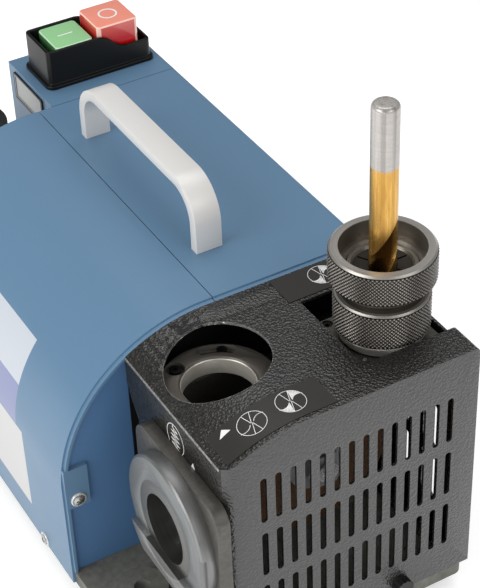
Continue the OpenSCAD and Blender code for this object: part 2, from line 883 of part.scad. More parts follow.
label_t = 0.4;
label_x = [guard_left + 4, guard_left + 62];
label_y = [guard_front + 3, guard_front + 23.7];

module guard_label() {
    color([0.12, 0.11, 0.11]) intersection() {
        along_y(label_y[0], label_y[1]) translate([0, -guard_drop]) difference() {
            case_profile(-label_t, base_top);
            case_profile(0, base_top - 1);
        }
        block([label_x[0], label_y[0] - 1, arc_z], [label_x[1], label_y[1] + 1, casing_top + 5]);
    }
}

module notch_label() {
    color([0.12, 0.11, 0.11]) block([notch_x - 5, notch_y + notch_d + 2, guard_top],
        [half_w - 4, casing_front - 1, guard_top + label_t]);
}

// ---------------------------------------------------------------- grinding head

shoulder_d = 17;
shoulder_h = 7;
frame_lap = 13;
frame_side_front = guard_front + guard_corner_r + 0.5;
frame_rise = 35;
frame_side_top = axis_z + frame_rise;
frame_foot_h = 14;
frame_clear = 0.5;

module head_frame() {
    left = guard_left + sheet_t;
    right = half_w - sheet_t - 3;
    foot_x = left + guard_foot;
    color([0.46, 0.46, 0.43]) difference() {
        union() {
            // wall behind the wheel, with a raised part under each upright port
            block([left, frame_front_y, base_top], [right, frame_back_y, port3_under - frame_lap + 1]);
            block([left, frame_front_y, port3_under - frame_lap],
                  [port1_plate_right, frame_back_y, port1_under]);
            block([port3_left, frame_front_y, port3_under - frame_lap],
                  [port3_right, frame_back_y, port3_under]);
            block([port3_left, frame_front_y - shoulder_d, port3_under - shoulder_h],
                  [port3_right, frame_front_y + eps, port3_under]);
            // wall behind the side port, on a foot that clears the foot of the guard
            block([left, frame_side_front, base_top + sheet_t + 2],
                  [left + frame_t, frame_back_y, frame_side_top]);
            block([left, frame_side_front, base_top + frame_foot_h / 2],
                  [foot_x + frame_t, frame_back_y, base_top + frame_foot_h]);
            block([foot_x, frame_side_front, base_top],
                  [foot_x + frame_t, frame_back_y, base_top + frame_foot_h]);
        }
        rod_y(axis_x, axis_z, frame_front_y - 1, frame_back_y + 1, hub_d + 8);
        rod_x(port2_y, port2_z, left - 1, left + frame_t + 1, sleeve_d + 1);
        rod_z(port3_x, port3_y, port3_under - shoulder_h - 1, port3_under + 1, port_bore_d + 1);
        // room for the feet of the guard
        block([left - 1, frame_side_front - 1, base_top - 1],
              [guard_left + guard_foot + frame_clear, frame_back_y + 1, base_top + sheet_t + frame_clear]);
        block([half_w - guard_foot - frame_clear, frame_front_y - 1, base_top - 1],
              [right + 1, frame_back_y + 1, base_top + sheet_t + frame_clear]);
        for (p = guard_screw_places)
            rod_z(p[0], p[1], base_top - 1, base_top + frame_foot_h / 2, guard_screw_d + 1);
        for (x = frame_screw_x)
            rod_z(x, frame_screw_y, base_top - 1, base_top + 12, frame_screw_d + thread_clear);
        for (x = port3_screw_x)
            rod_z(x, port3_screw_y, port3_under - frame_lap, port3_under + 1, port3_thread_d + thread_clear);
        port2_screw_places() rod_x(0, 0, left - 1, left + frame_t + 1, port2_thread_d + thread_clear);
        port1_polar(port1_slot_r, port1_slot_screw_a)
            rod_z(0, 0, port1_under - 11, port1_under + 1, port1_thread_d + thread_clear);
        port1_polar(port1_screw_r, port1_screw_a)
            rod_z(0, 0, port1_under - 11, port1_under + 1, port1_thread_d + thread_clear);
    }
}

frame_screw_x = [axis_x - 30, axis_x + 30];
frame_screw_d = 4;
frame_screw_y = frame_back_y - frame_t / 2;
frame_head_d = frame_screw_d + 3;
frame_head_h = 3.5;

module frame_screws() {
    color("silver") for (x = frame_screw_x) translate([x, frame_screw_y, base_z + rib_h]) mirror([0, 0, 1])
        cap_screw(frame_screw_d, frame_head_d, frame_head_h, base_t - rib_h + 10);
}

// Places something at a radius and an angle round the first port
module port1_polar(r, a) {
    translate([port1_x + r * cos(a), port1_y + r * sin(a), 0]) children();
}

// A curved slot round the first port, drawn in X and Y
module port1_arc(r, a0, a1, w) {
    far = 2 * port1_disc_r;
    translate([port1_x, port1_y]) {
        intersection() {
            difference() {
                circle(r = r + w / 2);
                circle(r = r - w / 2);
            }
            polygon([[0, 0], [far * cos(a0), far * sin(a0)], [far * cos(a1), far * sin(a1)]]);
        }
        for (a = [a0, a1]) translate([r * cos(a), r * sin(a)]) circle(d = w);
    }
}

module port1_plate() {
    color([0.40, 0.39, 0.37]) difference() {
        block([port1_plate_left, port1_y - port1_plate_r - 4, port1_under],
              [port1_plate_right, frame_back_y, port1_under + port1_t]);
        rod_z(port1_x, port1_y, port1_under - 1, port1_z, port1_hub_d + 2 * nose_clear);
        port1_polar(port1_slot_r, port1_slot_screw_a)
            rod_z(0, 0, port1_under - 1, port1_z, port1_thread_d + thread_clear);
        port1_polar(port1_screw_r, port1_screw_a)
            rod_z(0, 0, port1_under - 1, port1_z, port1_thread_d + thread_clear);
    }
}

// Turning disc with the port's bore, a curved slot and a sunk hole for its two screws
module port1_ring() {
    color([0.50, 0.48, 0.45]) difference() {
        union() {
            rod_z(port1_x, port1_y, port1_z - port1_disc_t, port1_z, 2 * port1_disc_r);
            rod_z(port1_x, port1_y, port1_under, port1_z - port1_disc_t + eps, port1_hub_d);
        }
        rod_z(port1_x, port1_y, port1_under - 1, port1_z + 1, port_bore_d);
        translate([port1_x, port1_y, port1_z - port1_mouth])
            cylinder(d1 = port_bore_d, d2 = port_bore_d + 2.2 * port1_mouth, h = port1_mouth * 1.1);
        translate([0, 0, port1_seat_z - seat_gap]) linear_extrude(port1_disc_t)
            port1_arc(port1_slot_r, port1_slot_a[0], port1_slot_a[1], port1_slot_w);
        translate([0, 0, port1_under - 1]) linear_extrude(port1_z - port1_under + 2)
            port1_arc(port1_slot_r, port1_slot_a[0], port1_slot_a[1], port1_thread_d + 4 * thread_clear);
        port1_polar(port1_screw_r, port1_screw_a)
            rod_z(0, 0, port1_seat_z - seat_gap, port1_z + 1, port1_sink_d);
        translate([0, 0, port1_under - 1]) linear_extrude(port1_z - port1_under + 2)
            port1_arc(port1_screw_r, port1_screw_a - port_swing - 0.5, port1_screw_a + port_swing + 0.5,
                      port1_thread_d + 4 * thread_clear);
    }
}

module port1_screws() {
    len = port1_disc_t - port1_head_h + port1_t + 9;
    color([0.16, 0.16, 0.17]) {
        port1_polar(port1_slot_r, port1_slot_screw_a) translate([0, 0, port1_seat_z])
            cap_screw(port1_thread_d, port1_slot_head_d, port1_head_h - 0.3, len);
        port1_polar(port1_screw_r, port1_screw_a) translate([0, 0, port1_seat_z])
            cap_screw(port1_thread_d, port1_screw_head_d, port1_head_h - 0.3, len);
    }
}

port2_thread_d = 4;
port2_screw_r = 33;
port2_flange_drop = 3;
port2_thread_len = 4;

// Places something at each of the side port's screws, which point along X
module port2_screw_places() {
    for (a = [45:90:315]) translate([0, port2_y + port2_screw_r * cos(a),
                                     port2_z - port2_flange_drop + port2_screw_r * sin(a)]) children();
}

module port2_flange() {
    color([0.33, 0.32, 0.30]) difference() {
        along_x(guard_left - flange_t, guard_left)
            translate([port2_y - flange_w / 2, port2_z - flange_w / 2 - port2_flange_drop])
            round_rect(flange_w, flange_w, flange_corner_r);
        rod_x(port2_y, port2_z, guard_left - flange_t - 1, guard_left + 1, sleeve_d + 2 * nose_clear);
        port2_screw_places()
            rod_x(0, 0, guard_left - port2_thread_len, guard_left + 1, port2_thread_d + thread_clear);
    }
}

// Turning disc of the side port: cut flat below, with a straight rest bar under the bore
module port2_disc() {
    back = guard_left - flange_t;
    bevel = 1.2;
    color([0.62, 0.62, 0.61]) difference() {
        union() {
            translate([0, port2_y, port2_z]) rotate([0, 90, 0]) rotate_extrude() polygon([
                [0, port2_face], [disc_d / 2 - bevel, port2_face], [disc_d / 2, port2_face + bevel],
                [disc_d / 2, back], [0, back]]);
            rod_x(port2_y, port2_z, port2_face - rest_out, port2_face + bevel, disc_d - 2 * bevel);
        }
        rod_x(port2_y, port2_z, port2_face - rest_out - 1, back + 1, sleeve_d + 2 * nose_clear);
        block([port2_face - rest_out - 1, port2_y - disc_d, port2_z - disc_d],
              [back + 1, port2_y + disc_d, rest_low]);
        block([port2_face - rest_out - 1, port2_y - disc_d, rest_top],
              [port2_face, port2_y + disc_d, port2_z + disc_d]);
        // flat on the front rim
        block([port2_face - 1, port2_y - disc_d, port2_z - disc_d],
              [port2_face + disc_notch, port2_y - disc_d / 2 + disc_notch, disc_notch_top]);
    }
}

// Hard sleeve in the disc, with its own part of the rest bar
module port2_sleeve() {
    inner = guard_left + sheet_t + frame_t;
    color([0.42, 0.41, 0.39]) difference() {
        rod_x(port2_y, port2_z, port2_face - rest_out, inner, sleeve_d);
        rod_x(port2_y, port2_z, port2_face - rest_out - 1, inner + 1, port_bore_d);
        block([port2_face - rest_out - 1, port2_y - disc_d, rest_top],
              [port2_face, port2_y + disc_d, port2_z + disc_d]);
    }
}

module port2_screws() {
    color([0.16, 0.16, 0.17]) port2_screw_places() translate([guard_left + sheet_t + frame_t, 0, 0])
        rotate([0, 90, 0])
            cap_screw(port2_thread_d, port2_thread_d + 3, 3.5, frame_t + sheet_t + port2_thread_len - 1);
}

module port3_block() {
    color([0.55, 0.54, 0.52]) difference() {
        block([port3_left, port3_front, port3_under], [port3_right, port3_back, port3_z]);
        rod_z(port3_x, port3_y, port3_under - 1, port3_z + 1, port_bore_d);
        for (x = port3_screw_x) {
            rod_z(x, port3_screw_y, port3_z - port3_sink, port3_z + 1, port3_head_d + 0.4);
            rod_z(x, port3_screw_y, port3_under - 1, port3_z + 1, port3_thread_d + thread_clear);
        }
        rod_z(pin_x, pin_y, port3_z - pin_sink, port3_z + 1, pin_d + thread_clear);
    }
}

port3_screw_x = [port3_left + 4, port3_right - 4];
port3_screw_y = port3_back - 3.4;
port3_thread_d = 2.9;
port3_head_d = 5.2;
port3_sink = 4;
pin_sink = 6;
pin_out = 1.6;
pin_d = 3.4;
pin_x = port3_x - 20.3;
pin_y = port3_y - 16.4;

module port3_screws() {
    color([0.16, 0.16, 0.17]) for (x = port3_screw_x) translate([x, port3_screw_y, port3_z - port3_sink])
        cap_screw(port3_thread_d, port3_head_d, port3_sink - 0.8, port3_t - port3_sink + 6);
}

module locating_pin() {
    color([0.70, 0.70, 0.68]) {
        rod_z(pin_x, pin_y, port3_z - pin_sink, port3_z + pin_out, pin_d);
        translate([pin_x, pin_y, port3_z + pin_out - eps]) cylinder(d1 = pin_d, d2 = pin_d - 1.2, h = 0.8);
    }
}

// ---------------------------------------------------------------- chuck

module chuck_seat_ring() {
    color([0.10, 0.10, 0.10]) difference() {
        rod_z(port3_x, port3_y, port3_z, chuck_z, body_d - 5);
        rod_z(port3_x, port3_y, port3_z - 1, chuck_z + 1, 2 * nose_r + 0.6);
    }
}

neck_top = ring_z + ring_web_h - 0.6;
cone_r = 15.4;
cone_h = 5;
cone_gap = 0.35;
bore_step_r = 9.4;

module chuck_body() {
    rim = 0.8;
    color([0.39, 0.36, 0.33]) translate([port3_x, port3_y, 0]) difference() {
        union() {
            translate([0, 0, chuck_z - nose_len]) cylinder(r = nose_r, h = nose_len + eps);
            translate([0, 0, chuck_z])
                cylinder(d1 = body_d - 4.5, d2 = body_d - 0.6, h = knurl_z - chuck_z + eps);
            translate([0, 0, knurl_z]) cylinder(d = body_d, h = knurl_h - rim);
            translate([0, 0, body_top - rim - eps]) cylinder(d1 = body_d, d2 = body_d - 2 * rim, h = rim);
            translate([0, 0, body_top - 1]) cylinder(r = neck_r, h = neck_top - body_top + 1);
        }
        translate([0, 0, chuck_z - nose_len - 1]) cylinder(r = bore_step_r, h = nose_len + 60);
        translate([0, 0, chuck_z]) cylinder(r = collet_r + 0.1, h = 60);
        translate([0, 0, neck_top - cone_h])
            cylinder(r1 = collet_r + 0.1, r2 = cone_r + eps, h = cone_h + eps);
    }
}

module clamping_ring() {
    r = ring_d / 2;
    cup_r = r - ring_wall;
    web_z = ring_z + ring_web_h;
    thread_r = neck_r + thread_gap;
    color([0.39, 0.36, 0.33]) translate([port3_x, port3_y, 0]) rotate_extrude() polygon([
        [thread_r, ring_z], [r - ring_foot_bevel, ring_z], [r, ring_z + ring_foot_h],
        [r, ring_top - ring_rim_bevel], [r - ring_rim_bevel, ring_top], [cup_r, ring_top],
        [cup_r, web_z], [cup_r - ring_step, web_z], [thread_r, web_z - ring_lead]]);
}

collet_slits = 6;

module collet() {
    z0 = chuck_z + 0.5;
    cone_z = neck_top - cone_h;
    head_r = collet_r + (cone_r - collet_r) * (cone_h - 1) / cone_h - cone_gap;
    color([0.20, 0.19, 0.18]) translate([port3_x, port3_y, 0]) difference() {
        union() {
            translate([0, 0, z0]) cylinder(r = collet_r - 0.2, h = cone_z - z0 + eps);
            translate([0, 0, cone_z]) cylinder(r1 = collet_r - cone_gap, r2 = head_r, h = cone_h - 1);
        }
        translate([0, 0, z0 - 1]) cylinder(d = drill_d + 2 * collet_gap, h = neck_top - z0 + 2);
        for (i = [0:collet_slits - 1]) rotate(i * 360 / collet_slits)
            translate([drill_d / 2 - 1, -0.5, z0 + 8]) cube([cone_r, 1, neck_top - z0]);
    }
}

flute_pitch = 68;
drill_top = drill_tip_z + drill_len;
flute_top = ring_top + 5;
flute_steps = 36;
flute_out = 0.38;
flute_d = 0.52;

module twist_drill() {
    color([0.80, 0.61, 0.30]) translate([port3_x, port3_y, 0]) {
        // fluted part: two lands round a web
        translate([0, 0, drill_tip_z]) intersection() {
            linear_extrude(flute_top - drill_tip_z, slices = flute_steps,
                           twist = -360 * (flute_top - drill_tip_z) / flute_pitch) difference() {
                circle(d = drill_d, $fn = 32);
                for (a = [0, 180]) rotate(a) translate([drill_d * flute_out, 0])
                    circle(d = drill_d * flute_d, $fn = 20);
            }
            union() {
                cylinder(r1 = 0.05, r2 = drill_d / 2 + 0.05, h = point_h, $fn = 32);
                translate([0, 0, point_h - eps]) cylinder(d = drill_d + 1, h = drill_len, $fn = 32);
            }
        }
        translate([0, 0, flute_top - eps]) cylinder(d = drill_d, h = drill_top - 2 - flute_top + eps);
        translate([0, 0, drill_top - 2 - eps]) cylinder(d1 = drill_d, d2 = drill_d - 4, h = 2);
    }
}

// ---------------------------------------------------------------- motor and wheel

module motor_can() {
    color([0.30, 0.31, 0.33]) difference() {
        rod_y(axis_x, axis_z, motor_front, motor_back, motor_d);
        rod_y(axis_x, axis_z, motor_front - 1, motor_back + 1, motor_d - 5);
        for (a = [45:90:315], i = [0:2]) translate([axis_x, motor_front + motor_len * (i + 1) / 4, axis_z])
            rotate([0, a, 0]) translate([0, 0, motor_d / 2 - 5]) cylinder(d = 9, h = 10);
    }
}

module bell(y0, y1) {
    difference() {
        rod_y(axis_x, axis_z, y0, y1, motor_d);
        rod_y(axis_x, axis_z, y0 - 1, y1 + 1, shaft_d + 6);
        for (a = [0:60:300]) translate([axis_x, (y0 + y1) / 2, axis_z]) rotate([0, a + 30, 0])
            translate([0, 0, motor_d * 0.31]) rotate([90, 0, 0])
                cylinder(d = motor_d * 0.15, h = y1 - y0 + 2, center = true);
        children();
    }
}

module motor_front_bell() {
    color([0.60, 0.60, 0.60]) bell(motor_front - bell_in, motor_front) {
        rod_y(axis_x, axis_z, motor_front - bearing_in, motor_front + 1, bearing_od);
        tie_bolt_holes();
    }
}

module motor_rear_bell() {
    color([0.60, 0.60, 0.60]) bell(motor_back, motor_back + bell_t) {
        rod_y(axis_x, axis_z, motor_back - 1, motor_back + bearing_t, bearing_od);
        tie_bolt_holes();
    }
}

tie_bolt_d = 4;
tie_bolt_r = motor_d / 2 - 5.2;

module tie_bolt_holes() {
    for (a = [0:90:270]) rotate_about_axis(a)
        rod_y(axis_x, axis_z + tie_bolt_r, motor_front - 30, motor_back + 30, tie_bolt_d);
}

module rotate_about_axis(a) {
    translate([axis_x, 0, axis_z]) rotate([0, a, 0]) translate([-axis_x, 0, -axis_z]) children();
}

module motor_tie_bolts() {
    color("silver") for (a = [0:90:270]) rotate_about_axis(a) {
        rod_y(axis_x, axis_z + tie_bolt_r, motor_front - bell_in, motor_back + bell_t + 3, tie_bolt_d - 0.2);
        translate([axis_x, motor_back + bell_t + 3.2, axis_z + tie_bolt_r]) rotate([90, 0, 0])
            cylinder(d = 7, h = 3.2, $fn = 6);
    }
}

module motor_windings() {
    inset = 6;
    color([0.70, 0.36, 0.16]) difference() {
        union() {
            rod_y(axis_x, axis_z, motor_front + inset, motor_back - inset, motor_d - 20);
            rod_y(axis_x, axis_z, motor_front + inset + 12, motor_back - inset - 12, motor_d - 5);
        }
        rod_y(axis_x, axis_z, motor_front, motor_back, rotor_d + 1.2);
        for (a = [0:90:270]) rotate_about_axis(a)
            rod_y(axis_x, axis_z + tie_bolt_r, motor_front, motor_back, tie_bolt_d + 0.4);
    }
}

rotor_d = motor_d - 42;

module motor_rotor() {
    color([0.45, 0.45, 0.47]) difference() {
        rod_y(axis_x, axis_z, motor_front + 20, motor_back - 20, rotor_d);
        rod_y(axis_x, axis_z, motor_front, motor_back, shaft_d);
        for (i = [0:11]) rotate_about_axis(i * 30)
            translate([axis_x - 1, motor_front, axis_z + rotor_d / 2 - 3])
            cube([2, motor_len, 5]);
    }
}

module motor_shaft() {
    color([0.75, 0.75, 0.76]) rod_y(axis_x, axis_z, shaft_front, shaft_back, shaft_d);
}

module ball_bearing(y0, y1) {
    difference() {
        rod_y(axis_x, axis_z, y0, y1, bearing_od);
        rod_y(axis_x, axis_z, y0 - 1, y1 + 1, shaft_d + 2 * shaft_clear);
        for (y = [y0 - 0.01, y1 - 0.8]) difference() {
            rod_y(axis_x, axis_z, y, y + 0.81, bearing_od - 5);
            rod_y(axis_x, axis_z, y - 1, y + 2, shaft_d + 5);
        }
    }
}

module front_bearing() {
    color([0.78, 0.78, 0.79]) ball_bearing(motor_front - bearing_in, motor_front - bearing_in + bearing_t);
}

module rear_bearing() {
    color([0.78, 0.78, 0.79]) ball_bearing(motor_back, motor_back + bearing_t);
}

fan_d = motor_d - 20;

module motor_fan() {
    y0 = motor_back + bell_t + 4.5;
    color([0.10, 0.10, 0.11]) difference() {
        union() {
            rod_y(axis_x, axis_z, y0, y0 + 2, fan_d);
            rod_y(axis_x, axis_z, y0, y0 + fan_t, shaft_d + 8);
            for (i = [0:8]) rotate_about_axis(i * 40 + 7)
                block([axis_x - 0.8, y0 + 1, axis_z + shaft_d / 2 + 2],
                      [axis_x + 0.8, y0 + fan_t - 1, axis_z + fan_d / 2 - 1]);
        }
        rod_y(axis_x, axis_z, y0 - 1, y0 + fan_t + 1, shaft_d);
    }
}

cradle_w = 64;

module motor_cradle() {
    color([0.46, 0.46, 0.43]) difference() {
        for (y = [motor_front + 10, motor_back - 22])
            block([axis_x - cradle_w / 2, y, base_top],
                  [axis_x + cradle_w / 2, y + 12, axis_z - motor_d * 0.28]);
        rod_y(axis_x, axis_z, motor_front - 1, motor_back + 1, motor_d);
    }
}

module wheel_hub() {
    y1 = wheel_y + wheel_w / 2;
    color([0.60, 0.60, 0.60]) difference() {
        union() {
            rod_y(axis_x, axis_z, y1, y1 + 6, hub_d);
            rod_y(axis_x, axis_z, wheel_y - wheel_w / 2 + 1, y1 + eps, wheel_bore_d);
            rod_y(axis_x, axis_z, y1 + 6 - eps, y1 + 14, shaft_d + 10);
        }
        rod_y(axis_x, axis_z, wheel_y - wheel_w, y1 + 20, shaft_d);
    }
}

bevel_w = 6;

module grinding_wheel() {
    r = wheel_d / 2;
    h = wheel_w / 2;
    color([0.42, 0.30, 0.20])
        translate([axis_x, wheel_y, axis_z]) rotate([90, 0, 0]) rotate_extrude($fn = 128)
        polygon([[wheel_bore_d / 2, -h], [r - bevel_w * 0.6, -h], [r, -h + bevel_w],
                 [r, h - bevel_w], [r - bevel_w * 0.6, h], [wheel_bore_d / 2, h]]);
}

module wheel_nut() {
    y1 = wheel_y - wheel_w / 2;
    color([0.70, 0.70, 0.70]) difference() {
        union() {
            rod_y(axis_x, axis_z, y1 - 2, y1, hub_d);
            translate([axis_x, y1 - 2 + eps, axis_z]) rotate([90, 0, 0])
                cylinder(d = 22, h = nut_h, $fn = 6);
        }
        rod_y(axis_x, axis_z, y1 - 20, y1 + 1, shaft_d);
    }
}

// ---------------------------------------------------------------- electrics

capacitor_d = 34;

capacitor_side = 44;
capacitor_back = 60;
capacitor_h = 62;
capacitor_cap_h = 4;

module capacitor() {
    x = -half_w + capacitor_side;
    y = bay_back - capacitor_back;
    top = base_top + capacitor_h;
    color([0.80, 0.80, 0.78]) {
        rod_z(x, y, base_top, top, capacitor_d);
        rod_z(x, y, top - eps, top + capacitor_cap_h, capacitor_d - 2 * capacitor_cap_h);
    }
}

terminal_y = switch_y;
terminal_side = 64;
terminal_x = half_w - terminal_side;
terminal_pitch = 12;
terminal_count = 4;
terminal_h = 16;
terminal_t = 16;
lead_d = 3;
lead_x = [for (i = [0:terminal_count - 1]) terminal_x + i * terminal_pitch];

module terminal_block() {
    color([0.90, 0.89, 0.84]) difference() {
        block([lead_x[0] - terminal_pitch / 2, terminal_y - terminal_t / 2, base_top],
              [lead_x[terminal_count - 1] + terminal_pitch / 2, terminal_y + terminal_t / 2,
               base_top + terminal_h]);
        for (x = lead_x)
            rod_z(x, terminal_y, base_top + terminal_h / 2, base_top + terminal_h + 1, lead_d + 2);
    }
}

module wiring() {
    color([0.55, 0.30, 0.10]) for (x = lead_x)
        rod_z(x, terminal_y, base_top + terminal_h / 2, casing_top - switch_body_h, lead_d);
}

gland_side = 28;
gland_rise = 22;
gland_x = half_w - gland_side;
gland_z = base_top + gland_rise;
gland_d = 16;
gland_out = -guard_front + knob_out - casing_back;
gland_bore_d = 7;
gland_nut_w = gland_d + 8;

module cable_gland() {
    color([0.08, 0.08, 0.08]) difference() {
        union() {
            rod_y(gland_x, gland_z, casing_back - sheet_t - 6, casing_back + 4, gland_d);
            translate([gland_x, casing_back + 5, gland_z]) rotate([90, 0, 0])
                cylinder(d = gland_nut_w, h = 5, $fn = 6);
            translate([gland_x, casing_back + gland_out, gland_z]) rotate([90, 0, 0])
                cylinder(d1 = gland_d - 2, d2 = gland_d + 4, h = gland_out - 5 + eps);
            translate([gland_x, casing_back - sheet_t, gland_z]) rotate([90, 0, 0])
                cylinder(d = gland_nut_w, h = 4, $fn = 6);
        }
        rod_y(gland_x, gland_z, casing_back - 20, casing_back + gland_out + 1, gland_bore_d);
    }
}

vent_side = 70;
vent_drop = 10;
vent_x = half_w - vent_side;
vent_z = axis_z - vent_drop;
vent_count = 6;
vent_pitch = 7;
vent_w = 3;
vent_h = 34;

// ---------------------------------------------------------------- drill setting gauge

gauge_top = base_top + gauge_h;
gauge_slot_top = gauge_top - gauge_bore_len;
gauge_slot_low = gauge_slot_top - stop_h - gauge_travel - 2 * stop_gap;
stop_z = gauge_slot_low + stop_gap;

module gauge_body() {
    slot_w2 = stop_w / 2 + stop_gap;
    color([0.07, 0.07, 0.07]) difference() {
        union() {
            block([gauge_x - gauge_base_w / 2, gauge_y - gauge_base_d / 2, base_top],
                  [gauge_x + gauge_base_w / 2, gauge_y + gauge_base_d / 2, base_top + gauge_base_t]);
            rod_z(gauge_x, gauge_y, base_top, gauge_top, gauge_w);
        }
        rod_z(gauge_x, gauge_y, gauge_slot_top, gauge_top + 1, port_bore_d);
        rod_z(gauge_x, gauge_y, gauge_slot_low, gauge_slot_top + 1, gauge_eye_d);
        block([gauge_x - slot_w2, gauge_y - gauge_w, gauge_slot_low],
              [gauge_x + slot_w2, gauge_y + gauge_w, gauge_slot_top]);
    }
}

// Sliding stop that the drill point rests on; it reaches through the slot to the knob
module gauge_stop() {
    end = gauge_y + gauge_w / 2 + 1;
    color([0.70, 0.70, 0.70]) difference() {
        block([gauge_x - stop_w / 2, gauge_y - gauge_w / 2 + 4, stop_z],
              [gauge_x + stop_w / 2, end, stop_z + stop_h]);
        rod_y(gauge_x, stop_z + stop_h / 2, end - stop_thread_len, end + 1, stop_thread_d);
    }
}

module gauge_knob() {
    end = gauge_y + gauge_w / 2 + 1;
    color([0.07, 0.07, 0.07]) {
        rod_y(gauge_x, stop_z + stop_h / 2, end + stop_gap, end + stop_gap + gauge_knob_len, gauge_knob_d);
        rod_y(gauge_x, stop_z + stop_h / 2, end - stop_thread_len + 1, end + stop_gap + eps,
              stop_thread_d - 2 * shaft_clear);
    }
}

base_casting();
rubber_feet();
foot_screws();
left_cover();
right_cover();
rear_cover();
front_bulkhead();
rear_panel();
left_rear_panel();
casing_screws();
data_plate();
handle();
handle_screws();
switch_bezel();
green_button();
red_button();
switch_body();
guard();
guard_label();
notch_label();
guard_screws();
head_frame();
frame_screws();
port1_plate();
port1_ring();
port1_screws();
port2_flange();
port2_disc();
port2_sleeve();
port2_screws();
port3_block();
port3_screws();
locating_pin();
chuck_seat_ring();
chuck_body();
guard_knob();
clamping_ring();
collet();
twist_drill();
motor_can();
motor_front_bell();
motor_rear_bell();
motor_cradle();
motor_tie_bolts();
motor_windings();
motor_rotor();
motor_shaft();
motor_fan();
front_bearing();
rear_bearing();
wheel_hub();
grinding_wheel();
wheel_nut();
capacitor();
terminal_block();
wiring();
cable_gland();
gauge_body();
gauge_stop();
gauge_knob();
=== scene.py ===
# %% [markdown]
# # Dressing a drill bit sharpener
# The machine comes from CAD as plain solids with their joints. This lesson gives them the finish of
# the real thing: powder coat, hammered paint, ground steel and clear plastic. It also adds the detail
# that a CAD file leaves out, such as knurling, printed pictograms and soft edges.

# %% Load the machine
import json
import math
import bpy
from mathutils import Matrix, Vector

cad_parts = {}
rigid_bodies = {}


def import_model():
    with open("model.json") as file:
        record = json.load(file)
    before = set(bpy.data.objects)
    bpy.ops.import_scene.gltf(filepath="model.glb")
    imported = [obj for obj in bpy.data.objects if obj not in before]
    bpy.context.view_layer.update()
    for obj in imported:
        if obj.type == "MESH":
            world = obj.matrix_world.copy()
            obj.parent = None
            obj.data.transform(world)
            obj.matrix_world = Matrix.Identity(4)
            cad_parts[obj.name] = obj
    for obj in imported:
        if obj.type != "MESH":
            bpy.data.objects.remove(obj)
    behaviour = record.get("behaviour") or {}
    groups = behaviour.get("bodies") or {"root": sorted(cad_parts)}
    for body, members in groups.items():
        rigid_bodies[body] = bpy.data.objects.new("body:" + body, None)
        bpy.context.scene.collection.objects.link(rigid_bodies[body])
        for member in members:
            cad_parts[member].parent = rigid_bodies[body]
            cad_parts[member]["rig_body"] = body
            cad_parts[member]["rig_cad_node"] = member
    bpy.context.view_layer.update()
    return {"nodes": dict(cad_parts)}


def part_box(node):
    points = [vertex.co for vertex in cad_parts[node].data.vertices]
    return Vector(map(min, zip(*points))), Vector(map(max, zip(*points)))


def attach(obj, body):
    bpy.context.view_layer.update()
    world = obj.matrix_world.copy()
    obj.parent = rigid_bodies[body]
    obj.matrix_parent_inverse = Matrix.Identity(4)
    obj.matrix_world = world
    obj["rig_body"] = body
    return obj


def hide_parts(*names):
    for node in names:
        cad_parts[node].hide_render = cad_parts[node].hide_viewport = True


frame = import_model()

nodes = frame["nodes"]

# %% [markdown]
# Every step works on one object at a time, so a few small habits are turned into helpers: clear the
# selection, take one object, choose some of its faces or edges by their place, and apply what was made.
# Sizes are given in millimetres, as on a drawing. The places that several cells share come first.

# %% Places on the machine
MM = 0.001


def mm(*values):
    return tuple(v * MM for v in values)


chuck_axis, port1_axis = mm(64.5, -143, 0), mm(-18.8, -128.6, 0)
port2_axis, motor_axis, pin_axis = mm(0, -152.5, 92), mm(22.85, 0, 92), mm(44.2, -159.4, 0)
chuck_x, chuck_y, _ = chuck_axis
port1_window = 26.2
guard_left, guard_right, guard_front, guard_roof, sheet = -50, 90, -189, 162, 1.5
arc_x, arc_z, arc_r = -4, 76, 86  # the bend of the guard's roof down to its left wall
corner_x, corner_y, corner_r = -43, -182, 7  # the guard's upright corner at the front left
print("the chuck stands at", round(chuck_x / MM, 1), round(chuck_y / MM, 1), "mm")

# %% Helpers for modelling


def clear():
    if bpy.context.object and bpy.context.object.mode != "OBJECT":
        bpy.ops.object.mode_set(mode="OBJECT")
    bpy.ops.object.select_all(action="DESELECT")


def take(*objs):
    clear()
    for o in objs:
        o.select_set(True)
    bpy.context.view_layer.objects.active = objs[-1]


def named(name):
    obj = bpy.context.object
    obj.name = name
    obj.data.name = name
    return obj


def choose(obj, kind, test=lambda *where: True):
    """Goes to edit mode with the elements selected whose place, in millimetres, passes the test."""
    take(obj)
    me = obj.data
    for group in (me.vertices, me.edges, me.polygons):
        group.foreach_set("select", [False] * len(group))
    if kind == "VERT":
        me.vertices.foreach_set("select", [bool(test(v.co / MM)) for v in me.vertices])
    if kind == "EDGE":
        me.edges.foreach_set("select", [
            bool(test(me.vertices[e.vertices[0]].co / MM, me.vertices[e.vertices[1]].co / MM))
            for e in me.edges])
    if kind == "FACE":
        me.polygons.foreach_set("select", [bool(test(p.center / MM, p.normal)) for p in me.polygons])
    bpy.ops.object.mode_set(mode="EDIT")
    bpy.ops.mesh.select_mode(type=kind)


def choose_whole(obj):
    take(obj)
    bpy.ops.object.mode_set(mode="EDIT")
    bpy.ops.mesh.select_all(action="SELECT")


def out():
    bpy.ops.object.mode_set(mode="OBJECT")


def settle(obj):
    take(obj)
    bpy.ops.object.transform_apply(location=True, rotation=True, scale=True)


def shift(obj, where):
    obj.location = where
    settle(obj)


def apply_all(obj):
    take(obj)
    for m in list(obj.modifiers):
        bpy.ops.object.modifier_apply(modifier=m.name)


def face_out(obj):
    choose_whole(obj)
    bpy.ops.mesh.normals_make_consistent(inside=False)
    out()


def smooth(obj, degrees):
    take(obj)
    bpy.ops.object.shade_smooth_by_angle(angle=math.radians(degrees))


